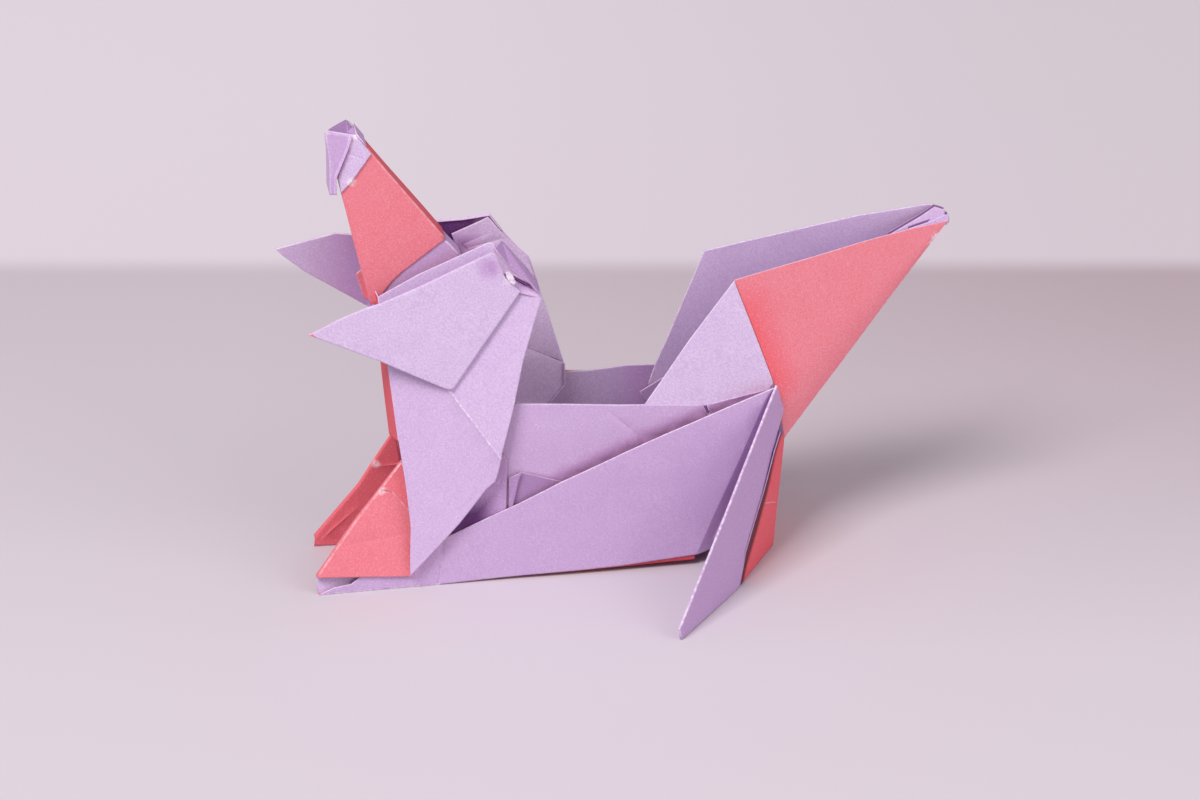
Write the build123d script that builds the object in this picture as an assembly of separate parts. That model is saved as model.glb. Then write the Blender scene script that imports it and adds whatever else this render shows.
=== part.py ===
from build123d import *
import os

# A dog folded from one square of paper, lavender on one face and coral on the other.
# Its head is at -X, its tail at +X, its near flank at -Y, and it stands on Z = 0.
# Every fold place is a share of the square's side, measured in side view. Half widths
# say how far each fold stands from the middle plane.

# Driving sizes in millimetres
SIDE = 150.0            # side of the square sheet
LAYER = 0.25            # pressed layers of the folded sheet
PLEAT = 0.50            # depth of a turned-in fold edge
PROUD = 0.20            # step where one pressed layer ends on the next
BROW_REACH = 1.1        # reach of the fold between hood and far neck
BROW_DROP = 0.5         # drop of that fold towards the far side
SNOUT_TOP_HALF = 1.8    # half width of the muzzle at its tip
SNOUT_HALF = 2.2        # half width of the muzzle at its root
NOSE_HALF = 2.3         # half width of the folded nose tip
THROAT_HALF = 3.6       # half width where throat and crown meet
CHEST_TIP_HALF = 8.5    # half width at the lowest tip of the chest
SHOULDER_HALF = 8.2     # half width at the shoulder corner
NAPE_HALF = 6.5         # half width at the nape
EAR_FOLD_HALF = 6.4     # half width at the fold that hinges an ear
EAR_LOW_HALF = 6.7      # half width at the low corner of an ear
NEAR_EAR_HALF = 6.8     # reach of the near ear's tip
FAR_EAR_HALF = 7.6      # reach of the far ear's tip
FAR_EAR_TOP_HALF = 6.2  # half width at the upper end of the far ear's crease
FAR_EAR_FOOT_HALF = 9.0  # half width at the lower end of the far ear's crease
HOOD_HALF = 4.4         # half width of the hood's far wall at its top
HOOD_FRONT_HALF = 3.2   # half width of the hood's far wall at its front
HOOD_REAR_HALF = 5.8    # half width of the hood's far wall at its rear
HOOD_FOOT_HALF = 4.6    # half width at the foot of the hood's far wall
ROOF_HALF = 5.0         # half width of the hood's roof on the near side
PAW_TOP_HALF = 4.5      # half width at the top of a front leg
PAW_HALF = 7.8          # half width at a front paw's tip
PAW_HEEL_HALF = 7.8     # half width at a front paw's heel
PAW_TOP_DEPTH = 0.6     # depth of a front leg's front edge at its top
PAW_TIP_DEPTH = 1.0     # depth of a front leg's front edge at its tip
SOLE_INNER_HALF = 6.3   # half width at the inner edge of a front sole
SOLE_HALF = 7.55        # half width at the outer edge of a front sole
FLANK_HALF = 8.0        # half width at the side panels' rear
FLANK_FRONT_HALF = 7.3  # half width at the side panels' front
HOCK_HALF = 7.5         # half width at the side panels' turned rear edge
WALL_HALF = 6.5         # half width at the top of the trough back
WALL_FOOT_HALF = 6.9    # half width at the foot of the trough walls
SHOULDER_FLAP_HALF = 7.15  # half width of the flaps tucked behind the side panels
RUMP_TOP_HALF = 2.8     # half width of the rump below the tail
RUMP_HALF = 3.7         # half width of the rump at the floor
HAUNCH_HALF = 14.7      # half width of the rump's corners at the floor
TAIL_HALF = 5.4         # half width at the top corners of the tail
TAIL_ROOT_HALF = 6.0    # half width where the tail leaves the flanks
TAIL_TIP_HALF = 0.5     # half width at the tail's tip
KEEL_HALF = 2.6         # half width of the tail's underside at the rump
HIP_HALF = 7.6          # half width at the top of a hind leg
HEEL_HALF = 15.3        # half width at a hind leg's heel
TOE_HALF = 28.2         # half width at a hind leg's toe
HIP_FOLD = 2.4          # depth of the fold that carries a hind leg

NEAR = -1
FAR = 1

# Places on the muzzle and nose, as shares of SIDE along X and Z
NOSE_PEAK_SHARE = (-0.2188, 0.4213)
NOSE_LEFT_SHARE = (-0.2360, 0.4200)
NOSE_VALLEY_DROP_SHARE = 0.0045
BRIDGE_TOP_SHARE = (-0.2129, 0.4152)
BRIDGE_FOOT_SHARE = (-0.138, 0.317)
CHIN_SHARE = (-0.205, 0.260)
SNOUT_SHARES = [
    NOSE_LEFT_SHARE, (-0.227, 0.365), CHIN_SHARE, (-0.200, 0.263), (-0.186, 0.280),
    (-0.175, 0.290), BRIDGE_FOOT_SHARE, BRIDGE_TOP_SHARE,
]
NOSE_CAP_SHARES = [
    NOSE_LEFT_SHARE, (-0.227, 0.365), (-0.218, 0.374), (-0.200, 0.398), BRIDGE_TOP_SHARE,
]
NOSE_FLAP_SHARES = [
    (-0.2390, 0.4170), (-0.2360, 0.3950), (-0.2365, 0.3640), (-0.2325, 0.3640),
    (-0.2320, 0.3800), (-0.2215, 0.4040), (-0.2180, 0.4150), (-0.2362, 0.4192),
]
CHEEK_SHARES = [
    (-0.208, 0.300), (-0.203, 0.262), (-0.150, 0.262), (-0.124, 0.300), (-0.160, 0.346),
]

# Places on the neck, throat and ears
CROWN_SHARE = (-0.199, 0.271)
CHEST_TIP_SHARE = (-0.182, 0.014)
SHOULDER_SHARE = (-0.098, 0.122)
NAPE_SHARE = (-0.059, 0.268)
BREAST_SHARES = [(-0.187, 0.140), (-0.180, 0.061), CHEST_TIP_SHARE]
NECK_FRONT_SHARES = [
    CROWN_SHARE, *BREAST_SHARES, (-0.137, 0.063), (-0.112, 0.094), (-0.104, 0.101),
    (-0.101, 0.109), SHOULDER_SHARE,
]
NECK_REAR_SHARES = [
    CROWN_SHARE, SHOULDER_SHARE, (-0.097, 0.128), (-0.087, 0.164), (-0.076, 0.212),
    NAPE_SHARE, (-0.078, 0.275), (-0.090, 0.286), (-0.097, 0.316),
]
THROAT_TOP_Z_SHARE = 0.275
THROAT_FOOT_SHARE = (-0.191, 0.129)
EAR_HINGE_TOP_SHARE = (-0.078, 0.276)
EAR_HINGE_FOOT_SHARE = (-0.139, 0.188)
NEAR_EAR_TIP_SHARE = (-0.262, 0.248)
NEAR_EAR_SHARES = [
    NEAR_EAR_TIP_SHARE, (-0.201, 0.220), (-0.146, 0.190), EAR_HINGE_FOOT_SHARE,
    EAR_HINGE_TOP_SHARE, (-0.091, 0.289), (-0.099, 0.313), (-0.165, 0.286), (-0.199, 0.273),
]
FAR_EAR_TIP_SHARE = (-0.282, 0.292)
FAR_EAR_TOP_SHARE = (-0.215, 0.305)
FAR_EAR_FOOT_SHARE = (-0.203, 0.230)
FAR_EAR_TIP_SHARES = [
    FAR_EAR_TIP_SHARE, (-0.256, 0.268), FAR_EAR_FOOT_SHARE, FAR_EAR_TOP_SHARE,
    (-0.228, 0.307),
]

# Places on the hood behind the muzzle
HOOD_FRONT_SHARE = (-0.143, 0.322)
HOOD_TOP_SHARE = (-0.094, 0.322)
HOOD_REAR_SHARE = (-0.026, 0.169)
HOOD_CREASE_SHARE = (-0.074, 0.196)
HOOD_FOOT_SHARE = (-0.073, 0.137)
HOOD_UPPER_SHARES = [
    HOOD_FRONT_SHARE, (-0.150, 0.290), HOOD_CREASE_SHARE, HOOD_REAR_SHARE,
    (-0.042, 0.223), (-0.052, 0.256), (-0.059, 0.277), (-0.068, 0.287),
    (-0.083, 0.306), HOOD_TOP_SHARE, (-0.117, 0.321),
]
HOOD_LOWER_SHARES = [
    HOOD_CREASE_SHARE, (-0.100, 0.150), HOOD_FOOT_SHARE, (-0.043, 0.131),
    (-0.026, 0.154), HOOD_REAR_SHARE,
]
ROOF_FRONT_SHARE = (-0.098, 0.313)
ROOF_REAR_SHARE = (-0.066, 0.279)
ROOF_FAR_FRONT_SHARE = (-0.086, 0.309)
ROOF_FAR_REAR_SHARE = (-0.058, 0.278)

# Places on the front legs
NEAR_PAW_SHARES = [(-0.184, 0.115), (-0.225, 0.068), (-0.265, 0.018)]
FAR_PAW_SHARES = [(-0.1835, 0.120), (-0.217, 0.063), (-0.258, 0.009)]
PAW_HEEL_SHARE = (-0.179, 0.0115)
PAW_BACK_SHARE = (-0.176, 0.060)
SOLE_TIP_SHARES = {NEAR: (-0.264, 0.0), FAR: (-0.259, 0.0)}
SOLE_HEEL_SHARE = (-0.155, 0.0)
SOLE_INNER_HEEL_SHARE = (-0.179, 0.0)
STRIP_SHARES = [
    SOLE_HEEL_SHARE, (-0.150, 0.046), (-0.172, 0.034), (-0.1745, 0.0165),
    (-0.222, 0.0165), (-0.234, 0.008), (-0.250, 0.006),
]

# Places on the flanks and the trough back
FLANK_FRONT_SHARE = (-0.150, 0.046)
FLANK_REAR_SHARE = (0.1475, 0.1715)
HOCK_SHARE = (0.082, 0.011)
FLANK_SHARES = [
    SOLE_HEEL_SHARE, (0.009, 0.0055), HOCK_SHARE, FLANK_REAR_SHARE, (0.057, 0.137),
    (0.009, 0.117), (-0.044, 0.094), (-0.083, 0.074), FLANK_FRONT_SHARE,
]
HOCK_SHARES = [HOCK_SHARE, (0.094, 0.011), (0.115, 0.084), FLANK_REAR_SHARE]
GUSSET_FRONT_SHARE = (-0.140, 0.003)
GUSSET_REAR_SHARE = (0.072, 0.013)
GUSSET_RISE_SHARE = 0.020
WALL_FRONT_SHARE = (-0.125, 0.140)
WALL_FOOT_FRONT_SHARE = (-0.165, 0.016)
WALL_FOOT_REAR_SHARE = (0.122, 0.022)
WALL_SHARES = [
    WALL_FOOT_FRONT_SHARE, WALL_FOOT_REAR_SHARE, (0.147, 0.166), (0.0885, 0.1550),
    (0.0915, 0.1460), (0.0895, 0.1460), (0.0850, 0.1553), (0.011, 0.1607),
    (-0.090, 0.1690), WALL_FRONT_SHARE,
]
BELLY_RIDGE_Z_SHARE = 0.045
SHOULDER_FLAP_SHARES = [
    (-0.150, 0.030), (-0.093, 0.050), (-0.0915, 0.104), (-0.093, 0.122), (-0.099, 0.121),
    (-0.130, 0.090),
]
TUCK_TOP_SHARE = (-0.079, 0.105)
TUCK_FOOT_SHARE = (-0.086, 0.040)
TUCK_SHARES = [TUCK_FOOT_SHARE, (-0.043, 0.060), (-0.043, 0.092), TUCK_TOP_SHARE]
TUCK_STRIP_SHARES = [(-0.090, 0.099), (-0.090, 0.045), TUCK_FOOT_SHARE, TUCK_TOP_SHARE]

# Places on the hind legs, rump and tail
HIP_SHARE = (0.151, 0.172)
HIP_REAR_SHARE = (0.161, 0.142)
TOE_SHARE = (0.039, 0.0)
HEEL_SHARE = (0.108, 0.0)
LEG_SHARES = [
    HIP_SHARE, (0.037, 0.011), TOE_SHARE, HEEL_SHARE, (0.113, 0.019), (0.118, 0.040),
    (0.134, 0.065), (0.153, 0.125), HIP_REAR_SHARE,
]
HIP_PLATE_SHARES = [(0.1475, 0.1705), (0.1375, 0.1460)]
RUMP_TOP_SHARE = (0.165, 0.105)
RUMP_FOOT_SHARE = (0.157, 0.0)
RUMP_CORNER_SHARE = (0.110, 0.0)
RUMP_SHARES = [
    (0.1685, 0.136), (0.159, 0.116), (0.146, 0.077), (0.127, 0.031),
    RUMP_CORNER_SHARE, RUMP_FOOT_SHARE, RUMP_TOP_SHARE,
]
TAIL_CORNER_SHARE = (0.113, 0.270)
FAR_TAIL_CORNER_SHARE = (0.101, 0.271)
TAIL_ROOT_SHARE = (0.150, 0.171)
TAIL_TIP_SHARE = (0.315, 0.300)
TAIL_KEEL_SHARE = (0.165, 0.104)
NEAR_TAIL_SHARES = [(0.280, 0.297), (0.232, 0.290)]
FAR_TAIL_SHARES = [(0.318, 0.303), (0.310, 0.312), (0.298, 0.315), (0.275, 0.311), (0.239, 0.305)]
SADDLE_SHARE = (0.032, 0.158)
NEAR_SADDLE_SHARES = [(0.073, 0.217), SADDLE_SHARE, (0.030, 0.130), (0.130, 0.125)]
FAR_SADDLE_SHARES = [(0.068, 0.185), (0.059, 0.163), (0.043, 0.136), (0.130, 0.125)]


def spot(place_share, reach):
    """One fold point, from its side-view place and its reach from the middle plane."""
    x_share, z_share = place_share
    return Vector(x_share * SIDE, reach, z_share * SIDE)


def meet(point, direction, anchors):
    """Slides a point along a direction onto the plane of three anchors."""
    origin, second, third = anchors
    normal = (second - origin).cross(third - origin)
    return point - direction * ((point - origin).dot(normal) / direction.dot(normal))


def pane(anchors, place_shares):
    """One flat facet: side-view places carried across onto the plane of three anchors."""
    return [meet(spot(place, 0), Vector(0, 1, 0), anchors) for place in place_shares]


def inward(point, side, depth):
    """The point moved towards the middle plane."""
    return point - Vector(0, side * depth, 0)


def turned_in(start, end, side, depth):
    """The narrow facet of a fold edge that turns in from start to end."""
    return [end, start, inward(start, side, depth), inward(end, side, depth)]


def facing(facet):
    """The unit normal of a flat facet of any number of corners."""
    total = Vector(0, 0, 0)
    for corner, following in zip(facet, facet[1:] + facet[:1]):
        total += corner.cross(following)
    return total.normalized()


def name_of(point):
    """A key that corners shared by several facets have in common."""
    return tuple(round(value, 4) for value in point)


def mitre(normals):
    """The shift of a corner that moves every facet meeting there out by one unit."""
    first, *others = normals
    if not others:
        return first
    if len(others) == 1:
        return (first + others[0]) / (1 + first.dot(others[0]))
    second, third = others
    volume = first.dot(second.cross(third))
    return (second.cross(third) + third.cross(first) + first.cross(second)) / volume


def leaf(facets):
    """One solid run of folded sheet: flat facets of LAYER thickness, mitred at their folds."""
    normals = {}
    for facet in facets:
        for corner in facet:
            normals.setdefault(name_of(corner), []).append(facing(facet))
    shift = {key: mitre(around) * (LAYER / 2) for key, around in normals.items()}
    edges = set()
    for facet in facets:
        for corner, following in zip(facet, facet[1:] + facet[:1]):
            edges.add((name_of(corner), name_of(following)))
    polygons = []
    for facet in facets:
        upper = [p + shift[name_of(p)] for p in facet]
        lower = [p - shift[name_of(p)] for p in facet]
        polygons += [upper, lower[::-1]]
        for i, corner in enumerate(facet):
            j = (i + 1) % len(facet)
            if (name_of(facet[j]), name_of(corner)) not in edges:
                polygons += [[upper[j], upper[i], lower[i]], [upper[j], lower[i], lower[j]]]
    return Solid(Shell([Face(Wire.make_polygon(polygon)) for polygon in polygons]))


def snout():
    """The muzzle: two side faces joined by the flat bridge, lavender nose cap and flap."""
    pieces = []
    sides = []
    for side in (NEAR, FAR):
        anchors = [
            spot(BRIDGE_TOP_SHARE, side * SNOUT_TOP_HALF), spot(BRIDGE_FOOT_SHARE, side * SNOUT_HALF),
            spot(CHIN_SHARE, side * SNOUT_HALF),
        ]
        peak = [NOSE_PEAK_SHARE] if side == FAR else []
        sides.append(pane(anchors, SNOUT_SHARES + peak))
        cap = [inward(corner, side, -PROUD) for corner in pane(anchors, NOSE_CAP_SHARES + peak)]
        pieces.append(leaf([cap]))
    near, far = sides
    top = SNOUT_SHARES.index(BRIDGE_TOP_SHARE)
    bridge = [near[top], near[top - 1], far[top - 1], far[top]]
    pieces.append(leaf([near, bridge, far[::-1]]))
    pieces.append(nose_pocket(near[0], near[top]))
    pieces.append(nose_flap())
    pieces.append(cheeks())
    return pieces


def nose_pocket(rim_left, rim_right):
    """The valley folded into the open top of the nose, from the two ends of its near rim."""
    drop = Vector(0, 0, NOSE_VALLEY_DROP_SHARE * SIDE)
    left = Vector(rim_left.X, 0, rim_left.Z) - drop
    right = meet(Vector(rim_right.X, 0, 0), Vector(0, 0, 1), [rim_left, rim_right, left])
    near = [rim_left, left, right, rim_right]
    far = [Vector(p.X, -p.Y, p.Z) for p in near]
    return leaf([near, far[::-1]])


def nose_flap():
    """The narrow flap wrapped round the front of the nose."""
    sides = []
    for side in (NEAR, FAR):
        anchors = [
            spot(NOSE_FLAP_SHARES[0], side * NOSE_HALF), spot(NOSE_FLAP_SHARES[2], side * NOSE_HALF),
            spot(NOSE_FLAP_SHARES[-2], side * (SNOUT_TOP_HALF + PROUD)),
        ]
        sides.append(pane(anchors, NOSE_FLAP_SHARES))
    near, far = sides
    front = [[near[i + 1], near[i], far[i], far[i + 1]] for i in range(2)]
    return leaf([near] + front + [far[::-1]])


def cheeks():
    """The lavender layer inside the muzzle that runs back into the head."""
    sides = []
    for side in (NEAR, FAR):
        anchors = [
            spot(BRIDGE_TOP_SHARE, side * (SNOUT_TOP_HALF - PROUD)),
            spot(BRIDGE_FOOT_SHARE, side * (SNOUT_HALF - PROUD)),
            spot(CHIN_SHARE, side * (SNOUT_HALF - PROUD)),
        ]
        sides.append(pane(anchors, CHEEK_SHARES))
    near, far = sides
    bridge = [near[-1], near[-2], far[-2], far[-1]]
    return leaf([near, bridge, far[::-1]])


def neck_anchors(side):
    """The crown, chest tip, shoulder and nape points of one side."""
    return (
        spot(CROWN_SHARE, side * THROAT_HALF), spot(CHEST_TIP_SHARE, side * CHEST_TIP_HALF),
        spot(SHOULDER_SHARE, side * SHOULDER_HALF), spot(NAPE_SHARE, side * NAPE_HALF),
    )


def paw_anchors(side):
    """The top, tip and heel points that set the plane of one front leg."""
    top, _, tip = NEAR_PAW_SHARES if side == NEAR else FAR_PAW_SHARES
    return [
        spot(top, side * PAW_TOP_HALF), spot(tip, side * PAW_HALF),
        spot(PAW_HEEL_SHARE, side * PAW_HEEL_HALF),
    ]


def neck(side):
    """One side of the neck: front and rear facets, and the breast edge turned in."""
    crown, tip, shoulder, nape = neck_anchors(side)
    front = pane([crown, tip, shoulder], NECK_FRONT_SHARES)
    rear = pane([crown, shoulder, nape], NECK_REAR_SHARES)
    breast = front[1:1 + len(BREAST_SHARES)]
    tucked = pane(paw_anchors(side), BREAST_SHARES)
    hems = []
    for i in range(len(breast) - 1):
        hems.append([breast[i + 1], breast[i], tucked[i], tucked[i + 1]])
    return leaf([front, rear] + hems)


def throat():
    """The coral ridge down the chest, between the two necks."""
    crown, tip, shoulder, _ = neck_anchors(NEAR)
    breast = pane([crown, tip, shoulder], BREAST_SHARES)[0]
    foot = spot(THROAT_FOOT_SHARE, 0)
    top = meet(spot((0, THROAT_TOP_Z_SHARE), 0), Vector(1, 0, 0), [crown, breast, foot])
    near = [crown, top, foot, breast]
    far = [Vector(p.X, -p.Y, p.Z) for p in near]
    return leaf([near, far[::-1]])


def near_ear():
    """The near ear, folded over the neck and hinged on its right edge."""
    anchors = [
        spot(EAR_HINGE_TOP_SHARE, NEAR * EAR_FOLD_HALF), spot(EAR_HINGE_FOOT_SHARE, NEAR * EAR_LOW_HALF),
        spot(NEAR_EAR_TIP_SHARE, NEAR * NEAR_EAR_HALF),
    ]
    ear = pane(anchors, NEAR_EAR_SHARES)
    return leaf([ear, turned_in(ear[3], ear[4], NEAR, PLEAT)])


def far_ear():
    """The far ear, hinged in the same way, with its tip twisted down along a crease."""
    hinge_top = spot(EAR_HINGE_TOP_SHARE, FAR * EAR_FOLD_HALF)
    hinge_foot = spot(EAR_HINGE_FOOT_SHARE, FAR * EAR_LOW_HALF)
    top = spot(FAR_EAR_TOP_SHARE, FAR * FAR_EAR_TOP_HALF)
    foot = spot(FAR_EAR_FOOT_SHARE, FAR * FAR_EAR_FOOT_HALF)
    tip = spot(FAR_EAR_TIP_SHARE, FAR * FAR_EAR_HALF)
    return leaf([
        pane([top, foot, tip], FAR_EAR_TIP_SHARES), [foot, hinge_foot, hinge_top],
        [foot, hinge_top, top], turned_in(hinge_foot, hinge_top, FAR, PLEAT),
    ])


def hood():
    """The far inner wall of the head and neck, its lower turn and its roof."""
    front = spot(HOOD_FRONT_SHARE, HOOD_FRONT_HALF)
    top = spot(HOOD_TOP_SHARE, HOOD_HALF)
    rear = spot(HOOD_REAR_SHARE, HOOD_REAR_HALF)
    upper = pane([front, top, rear], HOOD_UPPER_SHARES)
    crease = upper[HOOD_UPPER_SHARES.index(HOOD_CREASE_SHARE)]
    lower = pane([crease, spot(HOOD_FOOT_SHARE, HOOD_FOOT_HALF), rear], HOOD_LOWER_SHARES)
    outward = Vector(0, BROW_REACH, -BROW_DROP)
    brow = [upper[-1], upper[-2], upper[-2] + outward, upper[-1] + outward]
    wall = leaf([upper, lower, brow])
    near_front = spot(ROOF_FRONT_SHARE, NEAR * ROOF_HALF)
    near_rear = spot(ROOF_REAR_SHARE, NEAR * ROOF_HALF)
    far_front = meet(spot(ROOF_FAR_FRONT_SHARE, 0), Vector(0, 1, 0), [front, top, rear])
    far_rear = meet(spot(ROOF_FAR_REAR_SHARE, 0), Vector(0, 1, 0), [front, top, rear])
    roof = leaf([[near_front, near_rear, far_rear], [near_front, far_rear, far_front]])
    return [wall, roof]


def front_leg(side):
    """The front leg: outer face, narrow front edge, and the inner face down to the floor."""
    places = NEAR_PAW_SHARES if side == NEAR else FAR_PAW_SHARES
    plane = paw_anchors(side)
    outer = pane(plane, places + [PAW_HEEL_SHARE, PAW_BACK_SHARE])
    top, mid, tip = outer[:len(places)]
    inner_plane = [
        inward(top, side, PAW_TOP_DEPTH), inward(tip, side, PAW_TIP_DEPTH),
        spot(SOLE_INNER_HEEL_SHARE, side * SOLE_INNER_HALF),
    ]
    floor = [SOLE_TIP_SHARES[side], SOLE_INNER_HEEL_SHARE]
    inner = pane(inner_plane, places + floor + [PAW_BACK_SHARE])
    edges = [[mid, top, inner[0], inner[1]], [tip, mid, inner[1], inner[2]]]
    return [outer] + edges + [inner[::-1]], inner[3], inner[4]


def flank(side):
    """One run of sheet from the front leg under its sole and back along the side panel."""
    leg, inner_tip, inner_heel = front_leg(side)
    outer_tip = spot(SOLE_TIP_SHARES[side], side * SOLE_HALF)
    outer_heel = spot(SOLE_HEEL_SHARE, side * FLANK_FRONT_HALF)
    front = spot(FLANK_FRONT_SHARE, side * FLANK_FRONT_HALF)
    rear = spot(FLANK_REAR_SHARE, side * FLANK_HALF)
    sole = [inner_tip, inner_heel, outer_heel, outer_tip]
    strip = pane([outer_tip, outer_heel, front], [SOLE_TIP_SHARES[side]] + STRIP_SHARES)
    panel = pane([outer_heel, front, rear], FLANK_SHARES)
    hock = panel[FLANK_SHARES.index(HOCK_SHARE)]
    turn = pane([hock, rear, spot(HOCK_SHARES[1], side * HOCK_HALF)], HOCK_SHARES)
    return leaf(leg + [sole, strip, panel, turn])


def wall_anchors(side):
    """Three points that set the plane of one trough wall."""
    return [
        spot(WALL_FOOT_FRONT_SHARE, side * WALL_FOOT_HALF),
        spot(WALL_FOOT_REAR_SHARE, side * WALL_FOOT_HALF), spot(WALL_FRONT_SHARE, side * WALL_HALF),
    ]


def trough():
    """The open back: two walls and the belly folded up between them."""
    near = pane(wall_anchors(NEAR), WALL_SHARES)
    far = pane(wall_anchors(FAR), WALL_SHARES)
    ridge_front = Vector(near[0].X, 0, BELLY_RIDGE_Z_SHARE * SIDE)
    ridge_rear = meet(Vector(near[1].X, 0, 0), Vector(0, 0, 1), [near[0], near[1], ridge_front])
    belly_near = [near[1], near[0], ridge_front, ridge_rear]
    belly_far = [ridge_rear, ridge_front, far[0], far[1]]
    return leaf([near, belly_near, belly_far, far[::-1]])


def gusset(side):
    """The fold under a side panel that joins it to the trough wall."""
    front = spot(SOLE_HEEL_SHARE, side * FLANK_FRONT_HALF)
    upper = spot(FLANK_FRONT_SHARE, side * FLANK_FRONT_HALF)
    rear = spot(FLANK_REAR_SHARE, side * FLANK_HALF)
    ends = [GUSSET_FRONT_SHARE, GUSSET_REAR_SHARE]
    low = pane([front, upper, rear], ends)
    raised = [(x_share, z_share + GUSSET_RISE_SHARE) for x_share, z_share in ends]
    high = pane(wall_anchors(side), raised)
    return leaf([[low[0], low[1], high[1]], [low[0], high[1], high[0]]])


def tucks(side):
    """The shoulder flap and the small folded flap tucked between a side panel and the wall."""
    plane = [spot(place, side * SHOULDER_FLAP_HALF) for place in SHOULDER_FLAP_SHARES[:3]]
    shoulder = pane(plane, SHOULDER_FLAP_SHARES)
    tuck = pane(plane, TUCK_SHARES)
    strip = pane([tuck[0], tuck[3], spot(TUCK_STRIP_SHARES[1], side * (SHOULDER_FLAP_HALF + PROUD))],
                 TUCK_STRIP_SHARES)
    return [
        leaf([shoulder, turned_in(shoulder[0], shoulder[1], side, PLEAT)]),
        leaf([tuck, strip, turned_in(tuck[0], tuck[1], side, PLEAT)]),
    ]


def hind_leg(side):
    """One hind leg standing out sideways from its hip, with the hip fold that carries it."""
    anchors = [
        spot(HIP_SHARE, side * HIP_HALF), spot(TOE_SHARE, side * TOE_HALF),
        spot(HEEL_SHARE, side * HEEL_HALF),
    ]
    leg = pane(anchors, LEG_SHARES)
    carry = turned_in(leg[-1], leg[0], side, HIP_FOLD)
    upper, lower = [spot(place, side * FLANK_HALF) for place in HIP_PLATE_SHARES]
    depth = FLANK_HALF - TAIL_ROOT_HALF
    plate = [lower, upper, inward(upper, side, depth), inward(lower, side, depth)]
    return [leaf([leg, carry]), leaf([plate])]


def rump():
    """The coral rump: two splayed panels and the strip between them."""
    sides = []
    for side in (NEAR, FAR):
        anchors = [
            spot(RUMP_TOP_SHARE, side * RUMP_TOP_HALF), spot(RUMP_CORNER_SHARE, side * HAUNCH_HALF),
            spot(RUMP_FOOT_SHARE, side * RUMP_HALF),
        ]
        sides.append(pane(anchors, RUMP_SHARES))
    near, far = sides
    back = [near[-1], near[-2], far[-2], far[-1]]
    return leaf([near, back, far[::-1]])


def tail():
    """The V-shaped tail: saddle and coral faces on both sides of a narrow keel."""
    sides = []
    for side, corner_share, saddle_shares, top_shares in (
        (NEAR, TAIL_CORNER_SHARE, NEAR_SADDLE_SHARES, NEAR_TAIL_SHARES),
        (FAR, FAR_TAIL_CORNER_SHARE, FAR_SADDLE_SHARES, FAR_TAIL_SHARES),
    ):
        corner = spot(corner_share, side * TAIL_HALF)
        root = spot(TAIL_ROOT_SHARE, side * TAIL_ROOT_HALF)
        tip = spot(TAIL_TIP_SHARE, side * TAIL_TIP_HALF)
        keel = spot(TAIL_KEEL_SHARE, side * KEEL_HALF)
        saddle_low = spot(SADDLE_SHARE, side * TAIL_ROOT_HALF)
        saddle = pane([corner, root, saddle_low], [corner_share] + saddle_shares + [TAIL_ROOT_SHARE])
        upper = pane([corner, root, tip], [corner_share, TAIL_ROOT_SHARE, TAIL_TIP_SHARE] + top_shares)
        sides.append((saddle, upper, [root, keel, tip]))
    near, far = sides
    underside = [near[2][2], near[2][1], far[2][1], far[2][2]]
    return leaf(list(near) + [underside] + [facet[::-1] for facet in far])


def folded_sheet():
    """Every run of the sheet, joined into the one piece that it is."""
    runs = snout() + [throat(), near_ear(), far_ear()] + hood() + [trough(), rump(), tail()]
    for side in (NEAR, FAR):
        runs += [neck(side), flank(side), gusset(side)] + tucks(side) + hind_leg(side)
    sheet = runs[0].fuse(*runs[1:]).clean()
    box = sheet.bounding_box()
    middle = box.center()
    return sheet.moved(Location((-middle.X, -middle.Y, -box.min.Z)))


os.makedirs("parts", exist_ok=True)
export_step(folded_sheet(), "parts/folded_sheet.step")
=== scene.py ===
import math
import bmesh
import bpy
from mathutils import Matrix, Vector, noise


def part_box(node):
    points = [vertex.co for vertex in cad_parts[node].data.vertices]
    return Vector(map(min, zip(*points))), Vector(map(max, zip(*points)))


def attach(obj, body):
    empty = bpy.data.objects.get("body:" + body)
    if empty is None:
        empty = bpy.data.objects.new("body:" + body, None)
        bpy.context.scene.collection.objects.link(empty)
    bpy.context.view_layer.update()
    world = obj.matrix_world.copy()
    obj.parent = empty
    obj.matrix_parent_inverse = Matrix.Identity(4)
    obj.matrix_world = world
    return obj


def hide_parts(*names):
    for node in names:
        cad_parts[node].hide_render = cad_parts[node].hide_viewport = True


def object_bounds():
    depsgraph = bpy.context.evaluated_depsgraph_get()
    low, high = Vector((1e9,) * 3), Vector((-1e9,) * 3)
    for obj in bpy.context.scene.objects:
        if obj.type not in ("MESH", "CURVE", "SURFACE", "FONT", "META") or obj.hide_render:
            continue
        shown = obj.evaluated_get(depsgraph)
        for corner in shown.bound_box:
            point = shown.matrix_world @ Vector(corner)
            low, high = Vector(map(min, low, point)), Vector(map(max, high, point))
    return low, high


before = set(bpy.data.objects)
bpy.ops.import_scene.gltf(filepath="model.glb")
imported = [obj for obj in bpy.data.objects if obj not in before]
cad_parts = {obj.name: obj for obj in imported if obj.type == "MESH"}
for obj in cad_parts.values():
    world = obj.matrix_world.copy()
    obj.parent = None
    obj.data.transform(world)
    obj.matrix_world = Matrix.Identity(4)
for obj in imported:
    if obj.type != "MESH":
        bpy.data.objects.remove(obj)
cad_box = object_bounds()

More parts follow.
